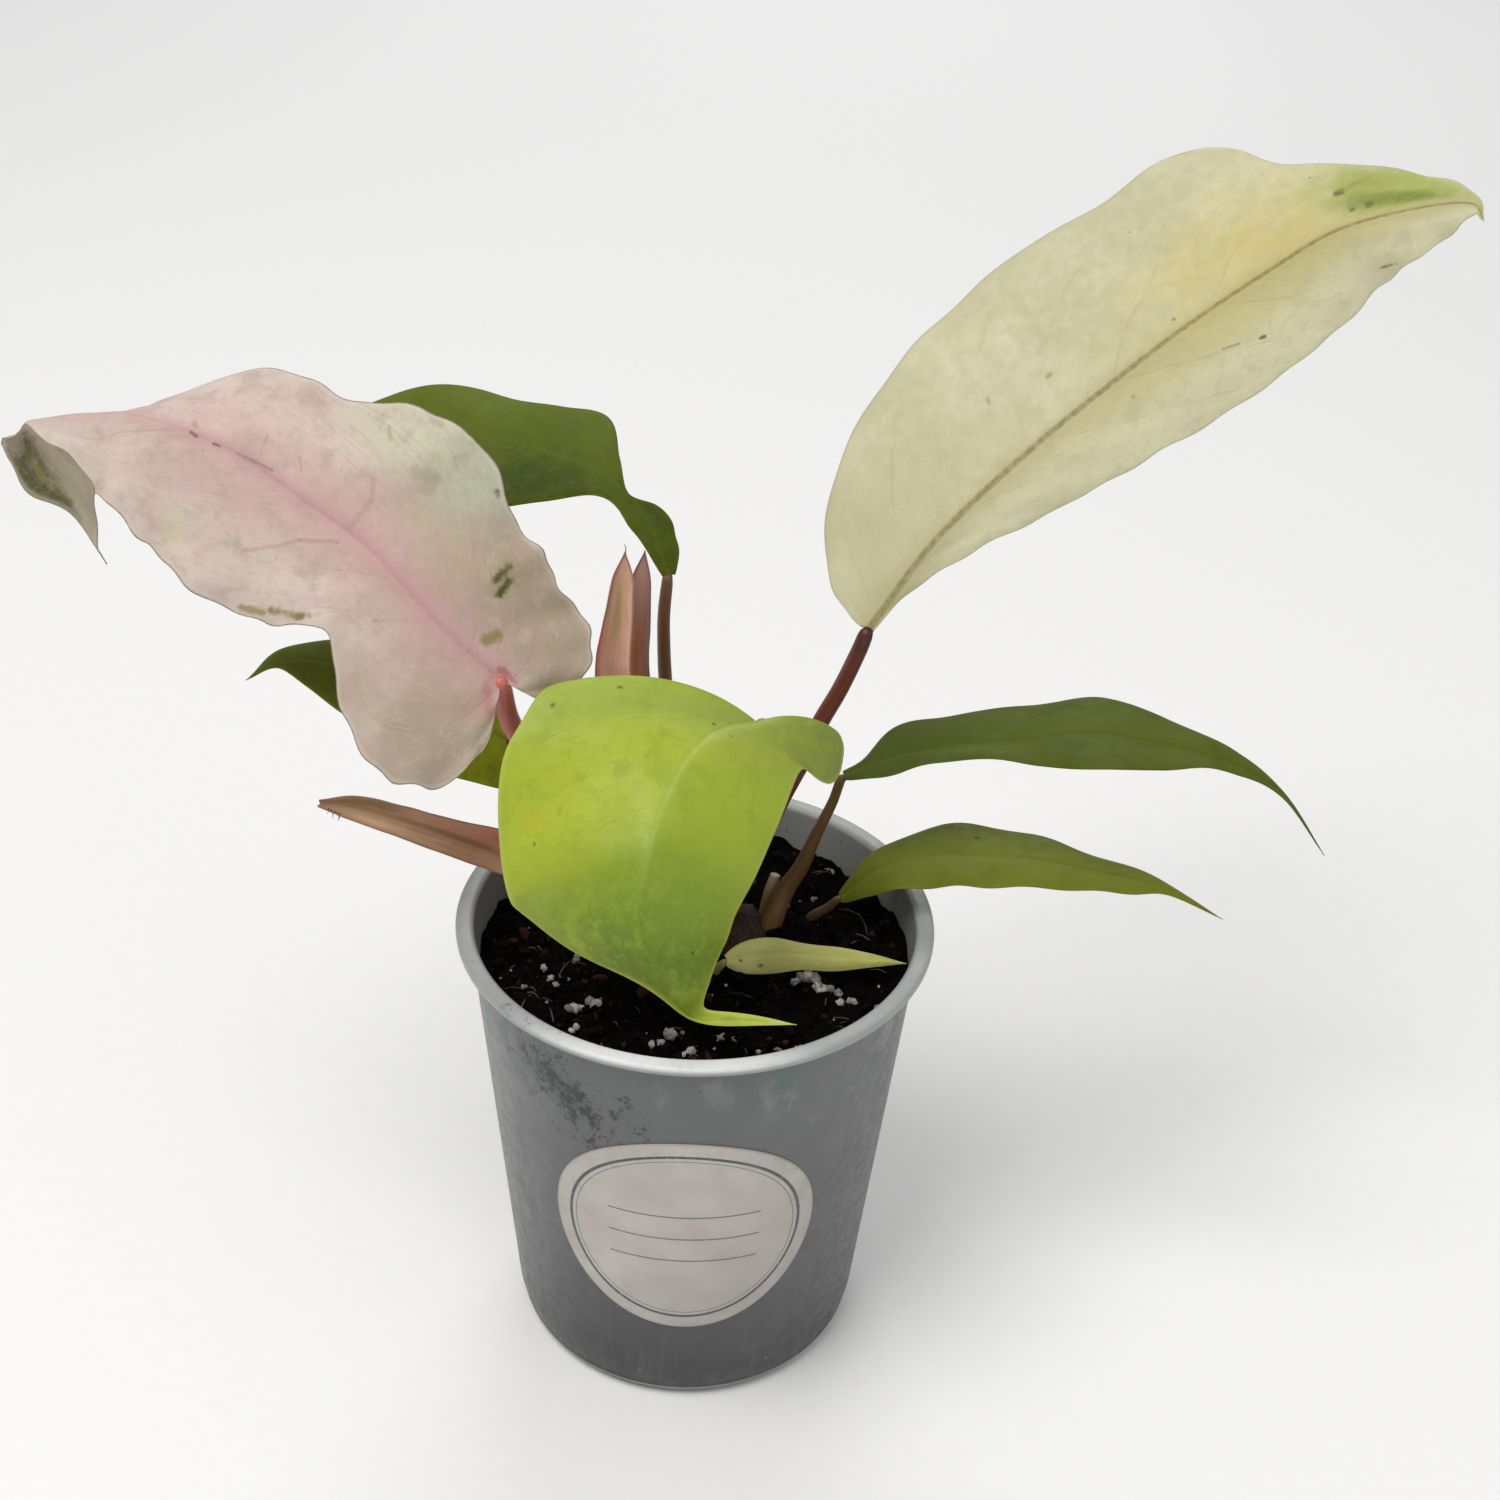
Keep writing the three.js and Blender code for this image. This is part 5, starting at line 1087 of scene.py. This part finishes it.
pot = lathe("pot_body", pot_profile())
holes = bmesh.new()
for hole in range(DRAIN_HOLES):
    angle = 2 * math.pi * hole / DRAIN_HOLES
    x, y = DRAIN_RING_RADIUS * math.cos(angle), DRAIN_RING_RADIUS * math.sin(angle)
    bmesh.ops.create_cone(holes, cap_ends=True, segments=40, radius1=DRAIN_HOLE_RADIUS * MM,
                          radius2=DRAIN_HOLE_RADIUS * MM, depth=0.008,
                          matrix=Matrix.Translation((x * MM, y * MM, 0.0)))
hole_mesh = bpy.data.meshes.new("drill")
holes.to_mesh(hole_mesh)
holes.free()
drill = bpy.data.objects.new("drill", hole_mesh)
bpy.context.scene.collection.objects.link(drill)
cut(pot, drill)
inside = pot.data.attributes.new("inside", "FLOAT", "POINT")
for index, vertex in enumerate(pot.data.vertices):
    across, height = math.hypot(vertex.co.x, vertex.co.y) / MM, vertex.co.z / MM
    within = across < wall_radius(height) - 0.5 * POT_WALL
    inside.data[index].value = float(within and 1.0 < height < POT_HEIGHT - 1.0)
settle(pot, ["pot"], pot_material())


# Label: a plain round sticker with a thin ring and three ruled lines to write on
def label_mesh():
    rings, segments = 40, 160
    verts, disc_x, disc_y = [], [], []
    lifts = {"face": 0.34, "edge": 0.2, "back": 0.06}

    def add(reach, angle, lift):
        across, up = reach * math.cos(angle), reach * math.sin(angle)
        turn = math.radians(LABEL_ANGLE - 90) + across / wall_radius(LABEL_HEIGHT)
        radius = wall_radius(LABEL_HEIGHT + up) + lift
        verts.append((radius * math.cos(turn), radius * math.sin(turn), LABEL_HEIGHT + up))
        disc_x.append(across)
        disc_y.append(up)

    steps = [(LABEL_RADIUS * i / rings, lifts["face"]) for i in range(1, rings)]
    steps += [(LABEL_RADIUS - 0.12, lifts["face"] - 0.01), (LABEL_RADIUS, lifts["edge"]),
              (LABEL_RADIUS, lifts["back"])]
    add(0, 0, lifts["face"])
    for reach, lift in steps:
        for k in range(segments):
            add(reach, 2 * math.pi * k / segments, lift)
    add(0, 0, lifts["back"])
    readings = dict(label_x=disc_x, label_y=disc_y)
    return make_mesh("label_sticker", verts, skin_faces(len(steps), segments), readings)


def label_material():
    s = Shader("label_paper", (1.08, 1.1, 1.06), Specular_IOR_Level=0.45, Coat_Weight=0.15,
               Coat_Roughness=0.35)
    place = s.place()
    x, y = s.attribute("label_x"), s.attribute("label_y")
    cloud = s.noise(place, 0.08, 4.0)
    s.spread((190, 182, 180), (180, 172, 168), s.ramp(cloud, 0.3, 0.7))
    # painted shade: the sticker grows darker toward its right and bottom, turned away from the light
    s.lay((150, 143, 138), s.ramp(x + y * -0.8, -10.0, 40.0, 0.0, 0.45))
    far = s.math("SQRT", x * x + y * y)
    ring = s.ramp(abs(far - LABEL_RING), 0.3, 0.55, 1.0, 0.0)
    inner_ring = s.ramp(abs(far - LABEL_INNER_RING), 0.08, 0.2, 0.7, 0.0)
    # ruled lines at even steps above and below the middle
    off_line = s.math("PINGPONG", y + 2 * LINE_SPACING, LINE_SPACING / 2)
    rows = s.ramp(off_line, 0.16, 0.34, 1.0, 0.0)
    inside = s.math("LESS_THAN", abs(y), 11.0) * s.ramp(abs(x), 18.6, 18.9, 1.0, 0.0)
    ink = s.math("MAXIMUM", s.math("MAXIMUM", ring, inner_ring), rows * inside * 0.75)
    print_wear = s.ramp(s.noise(place, 0.8, 4.0), 0.25, 0.45, 0.6, 1.0)
    s.lay((62, 74, 70), ink * print_wear)
    s.lay((150, 142, 136), s.ramp(far, 33.2, 33.8, 0.0, 0.55))
    grime = s.ramp(far, 20.0, 34.0, 0.0, 0.2) + s.noise(place, 0.2, 5.0, 0.65)
    s.lay((140, 131, 122), s.ramp(grime, 0.6, 0.85, 0.0, 0.25))
    fibre = s.noise(place, 1.6, 4.0, 0.7)
    return s.finish(s.ramp(cloud, 0.3, 0.7, 0.4, 0.55), fibre, 0.00006, 0.6)


settle(label_mesh(), ["label"], label_material())


# Potting mix: a rough closed body, crumbs, bark and fibres on it, and pale grains
def soil_radius(z):
    return wall_radius(z) - POT_WALL - 0.12


def rough_height(x, y, scale, seed):
    return noise.noise(Vector((x * scale + seed, y * scale - seed, seed * 0.37)))


def soil_height(x, y):
    clods = 0.9 * math.sin(0.31 * x + 1.3) * math.cos(0.27 * y)
    clods += 0.6 * math.sin(0.53 * x - 0.47 * y) + 0.5 * math.cos(0.71 * y + 0.37 * x)
    height = SOIL_LEVEL + 0.8 * clods
    for much, scale, seed in ((1.3, 0.16, 3.1), (0.9, 0.45, 8.7), (0.5, 1.1, 1.9)):
        height += much * rough_height(x, y, scale, seed)
    return height


def soil_mesh():
    rings, segments = 110, 300
    top = soil_radius(SOIL_LEVEL)
    angles = [2 * math.pi * k / segments for k in range(segments)]
    verts = [(0, 0, soil_height(0, 0))]
    for i in range(1, rings + 1):
        for angle in angles:
            x, y = top * i / rings * math.cos(angle), top * i / rings * math.sin(angle)
            verts.append((x, y, soil_height(x, y)))
    sides = [(soil_radius(z), z) for z in (108.0, 90.0, 60.0, 30.0, 6.0)]
    sides.append((POT_BASE_RADIUS - FOOT_FILLET - 0.3, POT_FLOOR + 0.1))
    for reach, z in sides:
        verts.extend((reach * math.cos(angle), reach * math.sin(angle), z) for angle in angles)
    verts.append((0, 0, POT_FLOOR + 0.1))
    return make_mesh("soil_body", verts, skin_faces(rings + len(sides), segments))


def lump(seed, size, stretch, roughness, detail):
    """Points and faces of one irregular lump."""
    rng = random.Random(seed)
    ball = bmesh.new()
    bmesh.ops.create_icosphere(ball, subdivisions=detail, radius=1.0)
    angle = rng.uniform(0, 6.28)
    axis = Vector((rng.random(), rng.random(), rng.random() + 0.1)).normalized()
    turn = Matrix.Rotation(angle, 3, axis)
    points = []
    for v in ball.verts:
        bump = 1 + roughness * noise.noise(v.co * 1.7 + Vector((seed * 1.3, seed * 0.7, 0)))
        p = v.co * bump * size
        points.append(turn @ Vector((p.x * stretch[0], p.y * stretch[1], p.z * stretch[2])))
    faces = [[v.index for v in f.verts] for f in ball.faces]
    ball.free()
    return points, faces


def on_mix(rng, count, sizes, spread=0.98):
    """Seeded places all over the mix: x, y and size."""
    spots = []
    for _ in range(count):
        angle, reach = rng.uniform(0, 2 * math.pi), math.sqrt(rng.random()) * spread
        size = sizes[0] + (sizes[1] - sizes[0]) * rng.random() ** 2
        far = reach * (soil_radius(SOIL_LEVEL) - 1.6 * size)
        spots.append((far * math.cos(angle), far * math.sin(angle), size))
    return spots


def scatter(name, spots, seed, stretch, roughness, detail, sink, clear, shade=False):
    """Lumps lying on the mix, clear of the crown, joined in one mesh; each has its tone."""
    rng = random.Random(seed)
    verts, faces, tones = [], [], []
    for index, (x, y, size) in enumerate(spots):
        shape = [rng.uniform(*pair) for pair in stretch]
        tone = rng.random()
        if math.hypot((x - CROWN_CENTRE[0]) / CROWN_STRETCH, y - CROWN_CENTRE[1]) < clear:
            continue
        points, lump_faces = lump(seed * 977 + index, size, shape, roughness, detail)
        start = len(verts)
        z = soil_height(x, y) + size * (0.5 - sink)
        verts.extend((p.x + x, p.y + y, p.z + z) for p in points)
        faces.extend([start + i for i in f] for f in lump_faces)
        tones.extend([tone] * len(points))
    return make_mesh(name, verts, faces, dict(tone=tones), smooth_shade=shade)


def soil_material():
    s = Shader("potting_mix", Specular_IOR_Level=0.04)
    place = s.place()
    cloud = s.noise(place, 0.12, 5.0, 0.65)
    fine = s.noise(place, 0.9, 6.0, 0.7)
    s.spread((5, 4, 4), (14, 10, 9), s.ramp(cloud, 0.35, 0.65))
    s.lay((40, 28, 22), s.ramp(fine, 0.54, 0.72, 0.0, 0.7))
    s.lay((6, 5, 5), s.ramp(s.cells(place, 1.5), 0.1, 0.3, 0.4, 0.0))
    height = fine + s.cells(place, 1.1) * 0.6
    return s.finish(s.ramp(fine, 0.3, 0.7, 0.75, 0.95), height, 0.0009, 1.0)


def chip_material():
    s = Shader("bark_chips", Specular_IOR_Level=0.05)
    place = s.place()
    tone = s.attribute("tone")
    fine = s.noise(place, 0.8, 5.0, 0.7)
    s.spread((5, 4, 4), (20, 13, 11), s.ramp(tone, 0.0, 0.9))
    s.lay((74, 42, 32), s.ramp(tone, 0.9, 0.97, 0.0, 0.8))
    grain = s.noise(s.scaled(place, (0.5, 2.4, 0.9)), 1.0, 4.0, 0.7)
    s.lay((42, 29, 23), s.ramp(grain, 0.5, 0.72, 0.0, 0.5))
    return s.finish(s.ramp(fine, 0.3, 0.7, 0.65, 0.9), grain + fine, 0.0006, 1.0)


def perlite_material():
    s = Shader("perlite", Specular_IOR_Level=0.3, Subsurface_Weight=0.1, Subsurface_Scale=0.001)
    place = s.place()
    tone = s.attribute("tone")
    fine = s.noise(place, 1.3, 5.0, 0.7)
    s.spread((150, 142, 130), (214, 210, 202), s.ramp(tone, 0.0, 1.0))
    s.lay((104, 92, 78), s.ramp(fine, 0.45, 0.7, 0.0, 0.6))
    pores = s.ramp(s.cells(place, 1.8), 0.08, 0.22, 0.5, 0.0)
    s.lay((70, 60, 48), pores)
    return s.finish(0.9, fine - pores, 0.0008, 1.0)


# Pale grains that stand out: x, y, size, and how many lie together
GRAIN_GROUPS = [
    (-34.3, -16.7, 1.9, 2), (-29.6, -5.6, 1.3, 2), (-24.7, -23.3, 1.6, 2), (-28.7, -25.4, 1.5, 3),
    (-28.6, -34.0, 1.3, 2), (-37.5, -9.5, 1.1, 1), (-42.0, -16.0, 0.9, 2), (-5.9, -34.6, 1.6, 3),
    (-8.2, -38.0, 1.3, 3), (-1.7, -40.6, 1.7, 3), (7.1, -34.8, 1.4, 2), (9.8, -35.2, 1.2, 1),
    (26.3, -12.5, 1.5, 4), (29.4, -13.2, 1.7, 4), (32.3, -15.5, 1.5, 4), (35.1, -18.5, 1.6, 3),
    (37.8, -20.2, 1.3, 3), (45.5, -13.0, 0.9, 1), (20.0, -38.5, 0.9, 2), (24.5, -38.5, 0.8, 2),
    (24.4, 18.5, 1.3, 2), (35.1, 35.1, 1.2, 2), (31.0, 24.0, 1.0, 2), (-12.0, 36.0, 1.3, 3),
    (4.0, 42.0, 1.2, 2)]
rng = random.Random(23)
grains = on_mix(rng, SMALL_GRAINS, (0.25, 0.8), 0.97)
for x, y, size, number in GRAIN_GROUPS:
    for _ in range(number):
        near = x + rng.uniform(-1.5, 1.5), y + rng.uniform(-1.3, 1.3)
        grains.append((*near, size * rng.uniform(0.55, 1.0)))

settle(soil_mesh(), ["soil"], soil_material())
# Stretches of a lump along its three axes
CHIP = ((0.7, 1.6), (0.5, 1.0), (0.3, 0.7))
CRUMB = ((0.7, 1.3), (0.6, 1.1), (0.5, 1.0))
GRAIN = ((0.8, 1.3), (0.7, 1.1), (0.6, 1.0))
chips = scatter("soil_chips", on_mix(random.Random(11), CHIPS, (0.6, 2.3)), 11, CHIP, 0.7, 1, 0.25, 9.0)
settle(chips, [], chip_material())
crumbs = scatter("soil_crumbs", on_mix(random.Random(5), CRUMBS, (0.25, 1.0)), 5, CRUMB, 0.7, 1, 0.3, 9.0)
settle(crumbs, [], chip_material())
perlite = scatter("soil_perlite", grains, 23, GRAIN, 0.6, 2, 0.2, 14.0, shade=True)
settle(perlite, [], perlite_material())

fibre_paths = []
rng = random.Random(41)
for x, y, size in on_mix(rng, FIBRES, (1.2, 3.2)):
    turn, lift = rng.uniform(0, 6.28), rng.uniform(0.3, 1.1)
    run = np.array([math.cos(turn), math.sin(turn), 0.0]) * size
    root = np.array([x, y, soil_height(x, y) + 0.15])
    if all(math.hypot(*end[:2]) < soil_radius(SOIL_LEVEL) - 1 for end in (root + run, root - run)):
        fibre_paths.append([root - run, root + (0, 0, lift), root + run + (0, 0, 0.3 * lift)])
settle(threads("soil_fibres", fibre_paths, 0.16), [], fibre_material())


# Short stem
def crown_mesh():
    rings, segments = 44, 120
    verts = []
    for i in range(rings + 1):
        slope = math.pi * i / rings
        reach = CROWN_RADIUS * math.sin(slope) ** 0.7
        for k in range(segments):
            angle = 2 * math.pi * k / segments
            grain = noise.noise(Vector((math.cos(angle) * 3, math.sin(angle) * 3, i * 0.3)))
            ridge = 1 + 0.05 * math.sin(11 * angle) + 0.04 * grain
            x, y = CROWN_STRETCH * reach * ridge * math.cos(angle), reach * ridge * math.sin(angle)
            z = CROWN_MIDDLE + CROWN_HALF_HEIGHT * math.cos(slope)
            z += 0.7 * noise.noise(Vector((x * 0.3, y * 0.3, 2.0)))
            verts.append((CROWN_CENTRE[0] + x, CROWN_CENTRE[1] + y, z))
    return make_mesh("crown_stem", verts, ring_faces(rings + 1, segments))


def crown_material():
    s = Shader("crown_stem", Specular_IOR_Level=0.25)
    place = s.place()
    cloud = s.noise(place, 0.15, 5.0, 0.6)
    lines = s.noise(s.scaled(place, (1.1, 1.1, 0.25)), 1.0, 5.0, 0.7)
    s.spread((60, 44, 28), (30, 22, 18), s.ramp(cloud, 0.35, 0.65))
    s.lay((104, 82, 52), s.ramp(lines, 0.5, 0.7, 0.0, 0.6))
    return s.finish(0.7, lines, 0.0008, 1.0)


settle(crown_mesh(), ["crown"], crown_material())


# Floor, light and camera
FOCAL_PIXELS = 1900.0
PICTURE_PIXELS = 1500.0
CAMERA_PLACE = (0.0, -0.3868, 0.410)
PAN, TILT, ROLL = math.radians(1.73), math.radians(31.42), math.radians(2.61)
FLOOR_REACH = 4000
FLOOR_LEVEL = -0.05
SKY_STRENGTH = 0.42


def floor_material():
    s = Shader("studio_floor", Specular_IOR_Level=0.1)
    grain = s.noise(s.place(), 0.2, 3.0)
    pale, paler = (0.9, 0.9, 0.9, 1), (0.91, 0.91, 0.91, 1)
    s.put(s.bsdf.inputs["Base Color"], s.mix(s.ramp(grain, 0.3, 0.7), pale, paler))
    s.put(s.bsdf.inputs["Roughness"], 0.9)
    return s.material


corners = [(FLOOR_REACH * x, FLOOR_REACH * y, FLOOR_LEVEL) for x, y in ((-1, -1), (1, -1), (1, 1), (-1, 1))]
floor = make_mesh("studio_floor", corners, [(0, 1, 2, 3)], smooth_shade=False)
floor.data.materials.append(floor_material())


def area_light(name, place, aim, size, power, colour=(1, 1, 1)):
    data = bpy.data.lights.new(name, "AREA")
    data.shape = "DISK"
    data.size = size
    data.energy = power
    data.color = colour
    lamp = bpy.data.objects.new(name, data)
    lamp.location = place
    lamp.rotation_euler = (Vector(aim) - Vector(place)).to_track_quat("-Z", "Y").to_euler()
    bpy.context.scene.collection.objects.link(lamp)


area_light("key", (-0.55, -0.5, 1.7), (0, 0, 0.15), 1.0, 17.5, (1.0, 0.985, 0.96))
area_light("fill", (1.2, -0.9, 1.1), (0, 0, 0.15), 1.4, 3.5)
area_light("back", (0.2, 2.4, 2.2), (0, 1.6, 0), 2.0, 26.0)

world = bpy.data.worlds.new("studio")
world.use_nodes = True
sky = world.node_tree.nodes["Background"]
sky.inputs["Color"].default_value = (1.0, 1.0, 1.0, 1.0)
sky.inputs["Strength"].default_value = SKY_STRENGTH
bpy.context.scene.world = world
bpy.context.scene.view_settings.view_transform = "Standard"
bpy.context.scene.view_settings.look = "None"

forward = Vector((math.sin(PAN) * math.cos(TILT), math.cos(PAN) * math.cos(TILT), -math.sin(TILT)))
level = forward.cross(Vector((0, 0, 1))).normalized()
upright = level.cross(forward)
right_axis = math.cos(ROLL) * level + math.sin(ROLL) * upright
up_axis = -math.sin(ROLL) * level + math.cos(ROLL) * upright
lens = bpy.data.cameras.new("camera")
lens.sensor_fit = "HORIZONTAL"
lens.angle = 2 * math.atan(PICTURE_PIXELS / 2 / FOCAL_PIXELS)
lens.clip_start = 0.01
camera = bpy.data.objects.new("camera", lens)
camera.matrix_world = Matrix((
    (right_axis.x, up_axis.x, -forward.x, CAMERA_PLACE[0]),
    (right_axis.y, up_axis.y, -forward.y, CAMERA_PLACE[1]),
    (right_axis.z, up_axis.z, -forward.z, CAMERA_PLACE[2]),
    (0, 0, 0, 1)))
bpy.context.scene.collection.objects.link(camera)
bpy.context.scene.camera = camera
